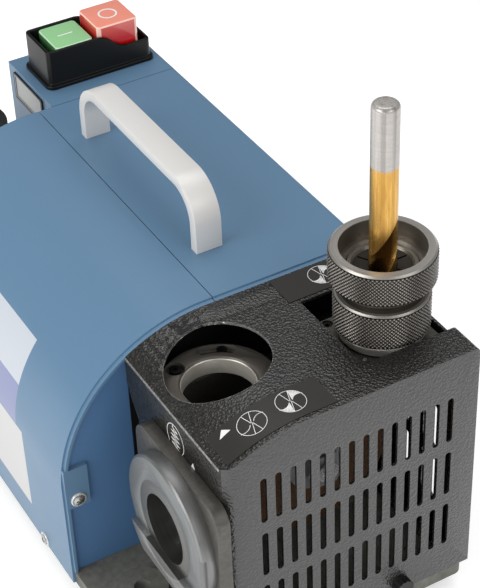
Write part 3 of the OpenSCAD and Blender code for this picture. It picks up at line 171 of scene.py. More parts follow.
def finish_piece(obj, body, slot, material, *replaced):
    obj.data.materials.clear()
    obj.data.materials.append(material)
    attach(obj, body)
    if replaced:
        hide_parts(*replaced)
    print("piece", obj.name, "has", len(obj.data.polygons), "faces")
    return obj


# %% [markdown]
# Shaders are built from nodes in the same way: add a node, wire two sockets, or feed a socket with
# either a wire or a plain number. A mask is a value of 1 inside a place and 0 outside it, so two masks
# are joined by their product.

# %% Helpers for node trees


def colour(r, g, b):
    def linear(v):
        v = v / 255
        return v / 12.92 if v <= 0.04045 else ((v + 0.055) / 1.055) ** 2.4
    return (linear(r), linear(g), linear(b), 1)


def add(tree, kind, **values):
    n = tree.nodes.new("ShaderNode" + kind)
    for key, value in values.items():
        setattr(n, key, value)
    return n


def wire(tree, a, b):
    tree.links.new(a, b)


def feed(tree, value, socket):
    """Wires a value to a socket or sets it there. Three numbers are a colour counted to 255."""
    if isinstance(value, bpy.types.NodeSocket):
        wire(tree, value, socket)
    else:
        is_colour = isinstance(value, tuple) and len(value) == 3
        socket.default_value = colour(*value) if is_colour else value


def math_node(tree, operation, *values, clamp=False):
    n = add(tree, "Math", operation=operation, use_clamp=clamp)
    for socket, value in zip(n.inputs, values):
        feed(tree, value, socket)
    return n.outputs[0]


def mix_colour(tree, factor, a, b):
    n = add(tree, "Mix", data_type="RGBA")
    for value, i in ((factor, 0), (a, 6), (b, 7)):
        feed(tree, value, n.inputs[i])
    return n.outputs[2]


# %% Masks, ramps and places


def times(tree, value, *more):
    for other in more:
        value = math_node(tree, "MULTIPLY", value, other)
    return value


def above(tree, length, limit):
    return math_node(tree, "GREATER_THAN", length, limit * MM)


def below(tree, length, limit):
    return math_node(tree, "LESS_THAN", length, limit * MM)


def between(tree, length, low, high):
    return times(tree, above(tree, length, low), below(tree, length, high))


def ramp(tree, value, low, high, to_low=0, to_high=1):
    """Changes evenly from one number to another while a value goes from low to high."""
    n = add(tree, "MapRange")
    for label, number in (("From Min", low), ("From Max", high), ("To Min", to_low), ("To Max", to_high)):
        n.inputs[label].default_value = number
    wire(tree, value, n.inputs["Value"])
    return n.outputs["Result"]


def noise(tree, vector, scale, detail=2, rough=0.5):
    n = add(tree, "TexNoise")
    for label, value in (("Vector", vector), ("Scale", scale), ("Detail", detail), ("Roughness", rough)):
        feed(tree, value, n.inputs[label])
    return n.outputs["Fac"]


def place(tree, centre=(0, 0, 0), stretch=(1, 1, 1)):
    """Object coordinates in metres, counted from a centre and drawn out along the axes."""
    n = add(tree, "Mapping", vector_type="TEXTURE")
    n.inputs["Location"].default_value = centre
    n.inputs["Scale"].default_value = stretch
    wire(tree, add(tree, "TexCoord").outputs["Object"], n.inputs["Vector"])
    return n.outputs["Vector"]


def apart(tree, vector):
    n = add(tree, "SeparateXYZ")
    wire(tree, vector, n.inputs[0])
    return n.outputs


def hypotenuse(tree, a, b):
    return math_node(tree, "SQRT", math_node(tree, "ADD", times(tree, a, a), times(tree, b, b)))


def from_axis(tree, centre):
    """Distance from an upright axis."""
    x, y, _ = apart(tree, place(tree, centre))
    return hypotenuse(tree, x, y)


def blank(name, rough=0.5, metal=0.0, specular=0.5, coat=0.0, coat_rough=0.1):
    m = bpy.data.materials.new(name)
    m.use_nodes = True
    s = m.node_tree.nodes["Principled BSDF"]
    for label, number in (("Roughness", rough), ("Metallic", metal), ("Specular IOR Level", specular),
                          ("Coat Weight", coat), ("Coat Roughness", coat_rough)):
        s.inputs[label].default_value = number
    return m, m.node_tree, s


# %% [markdown]
# ## Light and camera
# A small machine like this is shown on a white sweep under big soft boxes. The floor takes the
# shadow, and for camera, mirror and glass rays it glows a little, so that it reads as white without
# more light on the paint. The world is a plain pale grey that fills the shadows. Mirrors see it much
# darker, like the unlit upper half of a real studio, so black paint stays black on top.

# %% Camera
turn, down, roll = math.radians(28.41423), math.radians(37.90622), math.radians(-2.458285)
camera_x, camera_y, camera_z = -0.316847, -0.704599, 0.703794
lens_px, frame_px, sensor = 1788.206, 588, 36
look = Vector((math.sin(turn) * math.cos(down), math.cos(turn) * math.cos(down), -math.sin(down)))
level_right = Vector((math.cos(turn), -math.sin(turn), 0))
level_up = level_right.cross(look)
right = math.cos(roll) * level_right + math.sin(roll) * level_up
up = -math.sin(roll) * level_right + math.cos(roll) * level_up

scene = bpy.context.scene
camera_data = bpy.data.cameras.new("camera")
camera_data.sensor_width = sensor
camera_data.lens = lens_px / frame_px * sensor
camera_data.clip_end = 50
camera = bpy.data.objects.new("camera", camera_data)
scene.collection.objects.link(camera)
camera.matrix_world = Matrix((
    (right.x, up.x, -look.x, camera_x), (right.y, up.y, -look.y, camera_y),
    (right.z, up.z, -look.z, camera_z), (0, 0, 0, 1)))
scene.camera = camera
print("camera lens", round(camera_data.lens, 2), "mm")

# %% World, floor and soft boxes
sky_strength, mirror_dim, floor_glow = 0.6, 0.42, 0.42
aim = (0.0, -0.02, 0.1)
scene.view_settings.view_transform = "Standard"
world = bpy.data.worlds.new("studio")
scene.world = world
world.use_nodes = True
sky = world.node_tree.nodes["Background"]
sky.inputs["Color"].default_value = (0.97, 0.98, 1.0, 1)
mirror_ray = add(world.node_tree, "LightPath").outputs["Is Glossy Ray"]
wire(world.node_tree, math_node(world.node_tree, "MULTIPLY_ADD", mirror_ray, -mirror_dim, sky_strength),
     sky.inputs["Strength"])


def soft_box(name, where, width, height, watts):
    data = bpy.data.lights.new(name, "AREA")
    data.shape = "RECTANGLE"
    data.size, data.size_y = width, height
    data.energy = watts
    lamp = bpy.data.objects.new(name, data)
    scene.collection.objects.link(lamp)
    lamp.location = where
    lamp.rotation_euler = (Vector(aim) - Vector(where)).to_track_quat("-Z", "Y").to_euler()


soft_box("left box", (-1.5, -0.2, 1.1), 1.3, 1.3, 17)
soft_box("front box", (0.5, -1.7, 1.2), 1.2, 0.9, 7)
soft_box("top box", (0.4, 0.6, 1.9), 1.6, 0.9, 9)
soft_box("low fill", (-1.3, -1.3, 0.45), 0.9, 0.6, 5)

clear()
bpy.ops.mesh.primitive_plane_add(size=8, location=(0, 0, 0))
floor = named("studio_floor")
settle(floor)
paper, tree, shader = blank("white paper", 0.9)
shader.inputs["Base Color"].default_value = (0.82, 0.82, 0.82, 1)
shader.inputs["Emission Color"].default_value = (1, 1, 1, 1)
ray = add(tree, "LightPath").outputs
seen = math_node(tree, "MAXIMUM", ray["Is Camera Ray"], ray["Is Glossy Ray"])
seen = math_node(tree, "MAXIMUM", seen, ray["Is Transmission Ray"])
wire(tree, times(tree, seen, floor_glow), shader.inputs["Emission Strength"])
floor.data.materials.append(paper)
print("studio ready")

# %% [markdown]
# ## Finishes
# Each finish is a Principled shader with its constant numbers on the shader itself. The changes over
# the surface come from shared node groups: grain for paint and castings, and tool lines for turned,
# ground or drawn metal. Both read object coordinates, in metres.

# %% Node group: grain


def new_group(name, inputs, outputs):
    g = bpy.data.node_groups.new(name, "ShaderNodeTree")
    for label, kind, value in inputs:
        s = g.interface.new_socket(name=label, in_out="INPUT", socket_type="NodeSocket" + kind)
        if value is not None:
            s.default_value = value
    for label, kind in outputs:
        g.interface.new_socket(name=label, in_out="OUTPUT", socket_type="NodeSocket" + kind)
    return g, g.nodes.new("NodeGroupInput").outputs, g.nodes.new("NodeGroupOutput").inputs


shared_inputs = [("Vector", "Vector", None), ("Colour", "Color", (0.5, 0.5, 0.5, 1)),
                 ("Second", "Color", (0.4, 0.4, 0.4, 1))]
shared_outputs = [("Colour", "Color"), ("Height", "Float")]
grain_group, gi, go = new_group("Grain", shared_inputs + [
    ("Scale", "Float", 400.0), ("Contrast", "Float", 0.5), ("Cloud Scale", "Float", 30.0),
    ("Cloud", "Float", 0.3)], shared_outputs + [("Cloud", "Float")])
fine = noise(grain_group, gi["Vector"], gi["Scale"], 3)
cloud = noise(grain_group, gi["Vector"], gi["Cloud Scale"], 4)
speck = math_node(grain_group, "MULTIPLY_ADD", math_node(grain_group, "SUBTRACT", fine, 0.5),
                  gi["Contrast"], 0.5)
drift = times(grain_group, math_node(grain_group, "SUBTRACT", cloud, 0.5), gi["Cloud"])
both = math_node(grain_group, "ADD", speck, drift, clamp=True)
wire(grain_group, mix_colour(grain_group, both, gi["Colour"], gi["Second"]), go["Colour"])
wire(grain_group, fine, go["Height"])
wire(grain_group, cloud, go["Cloud"])

# %% Node group: lines of a lathe or a drawing die
lines_group, li, lo = new_group("Tool Lines", shared_inputs + [
    ("Across", "Float", 60.0), ("Contrast", "Float", 1.0)], shared_outputs)
streak = noise(lines_group, li["Vector"], li["Across"], 5, 0.6)
level = math_node(lines_group, "MULTIPLY_ADD", math_node(lines_group, "SUBTRACT", streak, 0.5),
                  li["Contrast"], 0.5, clamp=True)
wire(lines_group, mix_colour(lines_group, level, li["Colour"], li["Second"]), lo["Colour"])
wire(lines_group, streak, lo["Height"])
print("two shared node groups")

# %% Helpers for finishes


def pattern(tree, group, vector, first, second, **dials):
    """Places a shared node group, with its colours and numbers set, and gives its outputs."""
    g = add(tree, "Group", node_tree=group)
    for label, value in dict(dials, Vector=vector, Colour=first, Second=second).items():
        feed(tree, value, g.inputs[label.replace("_", " ")])
    return g.outputs


def bump(tree, shader, height, strength, depth_mm):
    b = add(tree, "Bump")
    b.inputs["Strength"].default_value = strength
    b.inputs["Distance"].default_value = depth_mm * MM
    wire(tree, height, b.inputs["Height"])
    wire(tree, b.outputs["Normal"], shader.inputs["Normal"])


def vary_roughness(tree, shader, value, low, high):
    wire(tree, ramp(tree, value, 0.3, 0.7, low, high), shader.inputs["Roughness"])


def grained(name, first, second, scale, rough, metal=0.0, contrast=0.6, cloud=0.5, cloud_scale=25,
            bump_mm=0.05, strength=0.4, coat=0.0, specular=0.5, coat_rough=0.1):
    m, tree, shader = blank(name, sum(rough) / 2, metal, specular, coat, coat_rough)
    grain = pattern(tree, grain_group, place(tree), first, second, Scale=scale, Contrast=contrast,
                    Cloud_Scale=cloud_scale, Cloud=cloud)
    wire(tree, grain["Colour"], shader.inputs["Base Color"])
    vary_roughness(tree, shader, grain["Cloud"], *rough)
    bump(tree, shader, grain["Height"], strength, bump_mm)
    return m


def lay_lines(tree, shader, vector, first, second, rough, across, contrast, strength, bump_mm):
    lines = pattern(tree, lines_group, vector, first, second, Across=across, Contrast=contrast)
    wire(tree, lines["Colour"], shader.inputs["Base Color"])
    vary_roughness(tree, shader, lines["Height"], *rough)
    bump(tree, shader, lines["Height"], strength, bump_mm)
    return lines["Colour"]


def drawn(name, first, second, stretch, rough, metal=1.0, across=500, contrast=1.0, bump_mm=0.02,
          strength=0.3):
    m, tree, shader = blank(name, sum(rough) / 2, metal)
    along = place(tree, stretch=stretch)
    lay_lines(tree, shader, along, first, second, rough, across, contrast, strength, bump_mm)
    return m


def lathe_vector(tree, centre, axis):
    """Radius and place along the axis, so that lines run round the piece."""
    x, y, z = apart(tree, place(tree, centre))
    a, b, c = {"X": (y, z, x), "Y": (x, z, y), "Z": (x, y, z)}[axis]
    waver = times(tree, math_node(tree, "SINE", math_node(tree, "ARCTAN2", a, b)), 0.0008)
    v = add(tree, "CombineXYZ")
    for value, socket in zip((hypotenuse(tree, a, b), waver, c), v.inputs):
        wire(tree, value, socket)
    return v.outputs[0]


def turned(name, first, second, centre, axis, rough, metal=1.0, across=900, contrast=1.2, zones=()):
    """Lines round an axis. A zone is two radii, two places along the axis and a tone."""
    m, tree, shader = blank(name, sum(rough) / 2, metal)
    along = lathe_vector(tree, centre, axis)
    skin = lines = lay_lines(tree, shader, along, first, second, rough, across, contrast, 0.35, 0.02)
    radius, _, height = apart(tree, along)
    for r0, r1, h0, h1, tone in zones:
        zone = times(tree, between(tree, radius, r0, r1), between(tree, height, h0, h1))
        skin = mix_colour(tree, zone, skin, mix_colour(tree, 0.25, tone, lines))
    wire(tree, skin, shader.inputs["Base Color"])
    return m


def skin_of(material):
    """The node tree, the socket that takes the skin, and what is wired to it now."""
    tree = material.node_tree
    socket = tree.nodes["Principled BSDF"].inputs["Base Color"]
    return tree, socket, socket.links[0].from_socket


def paint(material, *names):
    for n in names:
        nodes[n].data.materials.clear()
        nodes[n].data.materials.append(material)
        for p in nodes[n].data.polygons:
            p.material_index = 0


# %% [markdown]
# ### Blue powder coat
# The covers are folded sheet steel with a baked powder coat. It is satin, with a faint orange peel
# that only shows in reflections, and slow drifts of tone where the layer is thicker. Two stickers on
# the left side are part of the same skin, so they are painted in by place, and they stay blank.

# %% Powder coat
casing_blue = grained("blue powder coat", (95, 128, 156), (88, 121, 149), 700, (0.34, 0.44), contrast=0.5,
                      cloud=0.8, cloud_scale=9, bump_mm=0.03, strength=0.25)
# Painted light: the front wall has the same paint as the covers but stands in shade, so this copy is given
# a bluer, more saturated tone to make up for it.
bulkhead_blue = grained("blue powder coat inside", (84, 122, 164), (76, 113, 154), 700, (0.36, 0.46),
                        contrast=0.5, cloud=0.8, cloud_scale=12, bump_mm=0.03, strength=0.25)
wall_face, shade_left = -87.8, -48.5
stickers = [  # front and back, foot and head, tone
    ((-33.2, 92), (105, 129.4), (192, 197, 204)),
    ((-33.2, 92), (80.6, 105.05), (134, 140, 176)),
    ((-40.3, 92), (27.8, 80), (200, 199, 197))]


def shade_inside_guard(material):
    """Painted shade: the part of the front wall that the guard covers is painted near black."""
    tree, socket, skin = skin_of(material)
    x, y, z = apart(tree, place(tree))
    arc_dx, _, arc_dz = apart(tree, place(tree, mm(arc_x, 0, arc_z)))
    flat = times(tree, above(tree, x, arc_x), below(tree, z, guard_roof - sheet))
    bowed = times(tree, between(tree, x, shade_left, arc_x + 0.1),
                  below(tree, hypotenuse(tree, arc_dx, arc_dz), arc_r - sheet))
    covered = times(tree, math_node(tree, "MAXIMUM", flat, bowed), below(tree, y, wall_face))
    wire(tree, mix_colour(tree, covered, skin, (22, 21, 20)), socket)


def blank_stickers(material):
    """Two plain vinyl stickers on the left side of the cover: a two-tone one above a white one."""
    tree, socket, skin = skin_of(material)
    x, y, z = apart(tree, place(tree))
    left = below(tree, x, guard_left)
    for (y0, y1), (z0, z1), tone in stickers:
        here = times(tree, left, between(tree, y, y0, y1), between(tree, z, z0, z1))
        skin = mix_colour(tree, here, skin, tone)
    wire(tree, skin, socket)


shade_inside_guard(bulkhead_blue)
blank_stickers(casing_blue)
paint(casing_blue, "left_cover", "right_cover", "rear_cover", "rear_panel")
paint(bulkhead_blue, "front_bulkhead", "left_rear_panel")
print("covers painted")

# %% [markdown]
# ### Hammered paint
# The guard wears a dark hammered enamel. It dries into shallow dimples of one to two millimetres with
# a leathery skin, and small bright glints sit on their rims. The window was cut after painting, so its
# rim is raw steel, and the paint has worn thin along the long left edge. The left wall is painted shade:
# it gets a copy of the same paint with a weaker gloss, so that it renders duller.

# %% Hammered paint
raw_rim, worn_from, worn_above = 0.12, 0.25, 147.2


def hammered(name, specular):
    m, tree, shader = blank(name, 0.17, 0.0, specular)
    at = place(tree)
    cells = add(tree, "TexVoronoi", feature="SMOOTH_F1")
    cells.inputs["Scale"].default_value = 720
    cells.inputs["Smoothness"].default_value = 0.5
    wire(tree, at, cells.inputs["Vector"])
    height = math_node(tree, "ADD", times(tree, cells.outputs["Distance"], 0.7),
                       times(tree, noise(tree, at, 1000, 3), 0.7))
    skin = mix_colour(tree, ramp(tree, height, 0.45, 0.85), (42, 41, 38), (16, 16, 15))
    skin = mix_colour(tree, times(tree, noise(tree, at, 40), 0.3), skin, (52, 49, 44))
    rim = below(tree, from_axis(tree, port1_axis), port1_window + raw_rim)
    x, _, z = apart(tree, at)
    worn = times(tree, below(tree, x, guard_left + worn_from), above(tree, z, worn_above))
    patchy = math_node(tree, "MULTIPLY_ADD", noise(tree, at, 900), 1.6, -0.3, clamp=True)
    bare = times(tree, math_node(tree, "MAXIMUM", rim, worn), patchy)
    wire(tree, mix_colour(tree, bare, skin, (190, 188, 184)), shader.inputs["Base Color"])
    wire(tree, times(tree, bare, 0.8), shader.inputs["Metallic"])
    bump(tree, shader, height, 1.0, 0.42)
    return m


guard_hammer = hammered("hammered enamel", 0.9)
# Painted shade: a copy of the same paint with a weaker gloss, for the left wall.
guard_shaded_copy = hammered("hammered enamel, shaded copy", 0.3)
paint(guard_hammer, "guard")
print("guard painted")

# %% [markdown]
# ### Printed film
# Two strips of matt dark film are stuck to the guard. They carry white pictograms of a drill point,
# which are modelled further down.

# %% Film
label_film = grained("dark printed film", (46, 43, 39), (40, 37, 34), 300, (0.4, 0.5), contrast=0.5,
                     cloud=0.8, cloud_scale=30, bump_mm=0.01, strength=0.15)
paint(label_film, "guard_label", "notch_label")

# %% [markdown]
# ### Cast iron and rubber
# The base is a sand casting with a coat of grey primer. Its skin is coarse and mottled. The feet are
# moulded rubber with a dull bloom.

# %% Casting and rubber
foot_rubber = grained("moulded rubber", (32, 32, 32), (24, 24, 24), 500, (0.7, 0.85), contrast=0.8,
                      specular=0.3)
paint(foot_rubber, "rubber_feet")
paint(grained("grey cast iron", (122, 122, 113), (92, 92, 86), 260, (0.5, 0.75), metal=0.15, contrast=1.6,
              cloud=1.2, cloud_scale=60, bump_mm=0.25, strength=0.6), "base_casting")
paint(grained("grey motor enamel", (112, 116, 120), (96, 100, 104), 500, (0.35, 0.5), bump_mm=0.04,
              strength=0.3), "motor_can", "motor_cradle")
paint(grained("cast aluminium", (170, 171, 172), (140, 141, 142), 320, (0.4, 0.6), metal=0.7, contrast=1.2,
              bump_mm=0.12, strength=0.5), "motor_front_bell", "motor_rear_bell", "wheel_hub", "wheel_nut")
paint(grained("bonded grit", (120, 86, 58), (78, 56, 40), 1500, (0.8, 0.95), contrast=2.4, bump_mm=0.15,
              strength=0.9, specular=0.3), "grinding_wheel")
print("castings, motor and wheel painted")

# %% [markdown]
# ### Plastics
# The switch housing is glossy black, the fan, the gland and the knobs are matt mouldings, and the
# wires have a smooth skin. The buttons and the drill are black only until their own pieces replace them.

# %% Plastics
switch_black = grained("glossy black moulding", (13, 13, 13), (9, 9, 9), 250, (0.26, 0.36), contrast=0.5,
                       bump_mm=0.01, strength=0.1, specular=0.28)
paint(switch_black, "switch_bezel", "switch_body", "green_button", "red_button", "twist_drill")
paint(grained("matt black moulding", (28, 28, 29), (20, 20, 21), 600, (0.4, 0.55), contrast=0.8,
              bump_mm=0.03, strength=0.3), "motor_fan", "cable_gland", "gauge_knob", "guard_knob")
for name, first, second, scale, rough, node in (
        ("white nylon", (222, 220, 212), (206, 204, 196), 300, (0.4, 0.5), "terminal_block"),
        ("brown wire skin", (96, 62, 42), (80, 50, 34), 300, (0.35, 0.45), "wiring"),
        ("capacitor can", (150, 152, 152), (136, 138, 138), 300, (0.35, 0.5), "capacitor")):
    paint(grained(name, first, second, scale, rough, bump_mm=0.02, strength=0.2), node)
paint(drawn("enamelled copper", (176, 96, 52), (130, 66, 36), (1, 0.2, 1), (0.3, 0.5)), "motor_windings")
print("plastics and copper painted")

# %% [markdown]
# ### Turned and ground steel
# The chuck, its ring and the ports are turned steel, lightly browned by oil, so their lines run round
# the axis of each piece. The screws of the ports and the guard are black oxide, and the others are
# zinc plated. The handle is a satin anodised bar.

# %% Steels
# Painted light in chuck_zones: the first zone is a painted highlight on the ring's top rim, and the third
# brightens the shaded taper under the chuck body.
chuck_zones = [(20, 27, 202.6, 204, (206, 202, 195)), (21, 25, 177.6, 180, (186, 182, 174)),
               (17.5, 24, 150, 159.2, (250, 246, 238)), (5, 22, 184, 203, (150, 143, 132))]
# Painted light: the bore wall of the first port sits in the guard's shade, so it is painted pale.
bore_painted_light = [(0, 18.6, 130, 145.4, (232, 228, 216))]
# Painted shade: the face of the second port's disc is painted darker than its lit rim.
disc_face_painted_shade = [(19, 37.6, -64.8, -64.2, (124, 127, 127))]
port_steel = turned("turned port steel", (116, 111, 104), (84, 80, 74), port1_axis, "Z", (0.3, 0.45),
                    metal=0.5, zones=bore_painted_light)
disc_steel = turned("turned disc steel", (150, 151, 150), (118, 118, 116), port2_axis, "X", (0.36, 0.5),
                    metal=0.8, zones=disc_face_painted_shade)
flange_steel = grained("milled flange", (112, 110, 105), (86, 84, 80), 500, (0.36, 0.5), metal=0.7,
                       contrast=1.2)
paint(port_steel, "port1_ring", "port1_plate")
paint(disc_steel, "port2_disc")
paint(flange_steel, "port2_flange", "port3_block")
paint(turned("browned turned steel", (128, 122, 115), (98, 92, 86), chuck_axis, "Z", (0.28, 0.42),
             metal=0.8, zones=chuck_zones), "chuck_body", "clamping_ring")
paint(turned("dark collet steel", (74, 68, 62), (50, 46, 42), chuck_axis, "Z", (0.3, 0.45), metal=0.85),
      "collet")
paint(turned("hard sleeve", (118, 118, 115), (90, 89, 86), port2_axis, "X", (0.28, 0.42), metal=0.85),
      "port2_sleeve")
paint(turned("ground shaft", (190, 190, 190), (160, 160, 160), motor_axis, "Y", (0.2, 0.35)),
      "motor_shaft", "front_bearing", "rear_bearing")
paint(turned("laminated rotor", (150, 146, 140), (110, 106, 100), motor_axis, "Y", (0.35, 0.5),
             across=2500, contrast=2), "motor_rotor")
paint(turned("ground pin", (210, 208, 204), (180, 178, 174), pin_axis, "Z", (0.18, 0.3)), "locating_pin")
paint(grained("blackened plate", (70, 66, 62), (52, 49, 46), 500, (0.4, 0.55), metal=0.7, contrast=1.2),
      "head_frame")
paint(grained("seal rubber", (26, 26, 26), (18, 18, 18), 800, (0.5, 0.65)), "chuck_seat_ring")
print("turned steels painted")

# %% Screws, gauge, plate and handle
washer_zinc = grained("bright washer", (232, 232, 230), (206, 206, 204), 900, (0.2, 0.32), metal=0.5,
                      bump_mm=0.02)
gauge_black = grained("gauge casting", (34, 34, 35), (24, 24, 25), 300, (0.4, 0.6), metal=0.2,
                      contrast=1.2, bump_mm=0.12, strength=0.5)
plate_metal = drawn("bare aluminium plate", (182, 183, 182), (160, 161, 160), (1, 0.05, 1), (0.4, 0.55),
                    metal=0.5, across=1500)
handle_metal = drawn("satin anodised bar", (226, 224, 220), (210, 208, 205), (1, 0.08, 0.08), (0.32, 0.45),
                     metal=0.12, across=1800, contrast=0.7, bump_mm=0.01, strength=0.2)
bare_y, bare_z = (131, 166.6), (144.3, 159.2)


def black_border(material):
    """The plate is printed black round its edge and bare in the middle."""
    tree, socket, skin = skin_of(material)
    _, y, z = apart(tree, place(tree))
    bare = times(tree, between(tree, y, *bare_y), between(tree, z, *bare_z))
    wire(tree, mix_colour(tree, bare, (18, 18, 18), skin), socket)


black_border(plate_metal)
paint(grained("black oxide screw", (34, 34, 35), (24, 24, 25), 900, (0.3, 0.45), metal=0.6, bump_mm=0.02,
              strength=0.3), "port1_screws", "port2_screws", "port3_screws", "guard_screws")
paint(grained("zinc screw", (190, 190, 188), (165, 165, 163), 900, (0.25, 0.4), metal=0.9, bump_mm=0.02,
              strength=0.3), "casing_screws", "foot_screws", "frame_screws", "handle_screws",
      "motor_tie_bolts")
paint(gauge_black, "gauge_body", "gauge_stop")
paint(plate_metal, "data_plate")
paint(handle_metal, "handle")
print("screws, gauge, plate and handle painted")

# %% [markdown]
# ## Knurled grips
# The chuck and its clamping ring are turned by hand, so both have a diamond knurl. One diamond tile is
# made from a small plane: its corners and centre are lifted and its mid edges stay low. The tile is
# repeated round and up with Array modifiers, and a Simple Deform modifier bends the strip to a band.

# %% Knurl band
knurl_pitch, knurl_depth, highlight_depth, knurl_gap = 2.0, 0.55, 0.5, 0.02


def repeat(obj, name, count, step):
    """Repeats a piece by a step, with its touching edges merged."""
    array = obj.modifiers.new(name, "ARRAY")
    array.use_relative_offset = False
    array.use_constant_offset = True
    array.constant_offset_displace = step
    array.count = count
    array.use_merge_vertices = True
    array.merge_threshold = 1e-6


def mid_edge(p):
    """Whether a point lies at the middle of an edge of the flat tile."""
    return (abs(p.x) < 1e-3) != (abs(p.z) < 1e-3)


def push(obj, test, depth):
    choose(obj, "VERT", test)
    bpy.ops.transform.translate(value=mm(0, depth, 0))
    out()


def knurl_band(name, radius, z0, z1, body, material):
    count = round(2 * math.pi * radius / knurl_pitch)
    rows = max(2, round((z1 - z0) / knurl_pitch))
    wide, tall = 2 * math.pi * radius / count, (z1 - z0) / rows
    clear()
    bpy.ops.mesh.primitive_plane_add(size=1, location=(0, 0, 0), rotation=(math.radians(90), 0, 0))
    band = named(name)
    band.scale = (wide * MM, tall * MM, 1)
    settle(band)
    choose(band, "FACE")
    bpy.ops.mesh.subdivide(number_cuts=1)
    out()
    choose(band, "VERT", mid_edge)
    bpy.ops.mesh.vert_connect()
    out()
    push(band, lambda p: not mid_edge(p), -knurl_depth)
    repeat(band, "round", count, mm(wide, 0, 0))
    repeat(band, "upward", rows, mm(0, 0, tall))
    apply_all(band)
    heights = [v.co.z / MM for v in band.data.vertices]
    for end in (max(heights), min(heights)):
        push(band, lambda p: abs(p.z - end) < 1e-3 and p.y < -knurl_depth / 2, knurl_depth)
    bend = band.modifiers.new("bend", "SIMPLE_DEFORM")
    bend.deform_method = "BEND"
    bend.deform_axis = "Z"
    bend.angle = 2 * math.pi
    apply_all(band)
    choose(band, "VERT")
    bpy.ops.mesh.remove_doubles(threshold=2e-6)
    out()
    xs = [v.co.x for v in band.data.vertices]
    ys = [v.co.y for v in band.data.vertices]
    shift(band, (chuck_x - (max(xs) + min(xs)) / 2, chuck_y - (max(ys) + min(ys)) / 2,
                 (z0 - min(heights)) * MM))
    finish_piece(band, body, "chuck_steel", material)


def knurled(name, low_radius):
    """Painted shade in the dark valleys and painted highlights on the bright peaks, told apart by their
    distance from the axis.
    """
    m, tree, shader = blank(name, 0.3, 0.8)
    peak = ramp(tree, from_axis(tree, chuck_axis), (low_radius + highlight_depth * 0.15) * MM,
                (low_radius + highlight_depth * 0.8) * MM)
    bright = pattern(tree, grain_group, place(tree), (176, 170, 162), (128, 122, 115), Scale=900)
    wire(tree, mix_colour(tree, peak, (26, 24, 22), bright["Colour"]), shader.inputs["Base Color"])
    vary_roughness(tree, shader, bright["Cloud"], 0.26, 0.4)
    return m


for name, body, low_radius, foot, head in (("ring", "clamping_ring", 26.0, 186.7, 202.5),
                                           ("body", "chuck", 23.5, 159.0, 177.6)):
    knurl_band(name + "_knurl", low_radius + knurl_gap, foot, head, body,
               knurled("knurled " + name, low_radius))

# %% [markdown]
# ## Soft edges
# Nothing on the real machine is as sharp as a CAD edge. For the pieces that catch the light, a copy of
# the solid is merged, its flat faces are dissolved into single faces and a Bevel modifier rounds the
# edges. The copy then stands in for the sharp solid. The guard is folded from sheet, so only its folds
# are rounded, and its roof is cut into narrow strips that shade evenly.

# %% Rounded copies
fold_r, strips, strip_w, first_strip = 1.4, 24, 4, -187


def solid_copy(node, name, flat):
    """A loose copy of a solid, with its facets dissolved where they turn less than flat degrees."""
    take(nodes[node])
    bpy.ops.object.duplicate()
    obj = named(name)
    obj.parent = None
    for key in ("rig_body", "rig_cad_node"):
        if key in obj:
            del obj[key]
    choose_whole(obj)
    bpy.ops.mesh.remove_doubles(threshold=2e-6)
    bpy.ops.mesh.dissolve_limited(angle_limit=math.radians(flat))
    out()
    return obj


def softened(node, name, width, body, slot, material, segments=3):
    obj = solid_copy(node, name, 2.0)
    bevel = obj.modifiers.new("soft", "BEVEL")
    bevel.width = width * MM
    bevel.segments = segments
    bevel.limit_method = "ANGLE"
    bevel.angle_limit = math.radians(30)
    bevel.use_clamp_overlap = True
    apply_all(obj)
    smooth(obj, 40)
    return finish_piece(obj, body, slot, material, node)


def near(value, target, slack=0.05):
    return abs(value - target) < slack


def on_fold(p):
    """Whether a point lies where the roof of the guard meets one of its walls."""
    if p.x > arc_x:
        roof = near(p.z, guard_roof)
    else:
        roof = near(math.hypot(p.x - arc_x, p.z - arc_z), arc_r, 0.12)
    corner = (p.x < corner_x + 0.1 and p.y < corner_y + 0.1
              and near(math.hypot(p.x - corner_x, p.y - corner_y), corner_r, 0.15))
    return roof and (near(p.y, guard_front) or near(p.x, guard_left) or near(p.x, guard_right) or corner)


def on_front_corner(p):
    return near(p.x, guard_right) and near(p.y, guard_front)


def folded_guard():
    obj = solid_copy("guard", "guard_folded", 1.0)
    choose(obj, "EDGE", lambda a, b: (on_fold(a) and on_fold(b))
           or (on_front_corner(a) and on_front_corner(b)))
    bpy.ops.mesh.bevel(offset=fold_r * MM, segments=4, profile=0.5, affect="EDGES", clamp_overlap=True)
    out()
    for strip in range(strips):
        choose(obj, "FACE", lambda c, n: n.z > 0.5 or n.z < -0.5)
        bpy.ops.mesh.bisect(plane_co=mm(0, first_strip + strip_w * strip, 0), plane_no=(0, 1, 0))
        out()
    smooth(obj, 30)
    finish_piece(obj, "machine", "guard_hammer", guard_hammer, "guard")
    # Painted shade: the faces of the left wall take the duller copy of the paint.
    obj.data.materials.append(guard_shaded_copy)
    for p in obj.data.polygons:
        if p.normal.x < -0.8 and p.center.x < (guard_left + 0.5) * MM:
            p.material_index = 1


folded_guard()
for node, width, body, slot, finish, segments in (
        ("handle", 1.0, "machine", "handle_metal", handle_metal, 3),
        ("switch_bezel", 0.7, "machine", "switch_black", switch_black, 3),
        ("port2_flange", 0.8, "machine", "flange_steel", flange_steel, 3),
        ("port2_disc", 0.25, "port2", "disc_steel", disc_steel, 2),
        ("port1_ring", 0.3, "port1_ring", "port_steel", port_steel, 2),
        ("gauge_body", 0.8, "machine", "gauge_black", gauge_black, 3),
        ("rubber_feet", 1.2, "machine", "foot_rubber", foot_rubber, 3)):
    softened(node, node + "_rounded", width, body, slot, finish, segments)

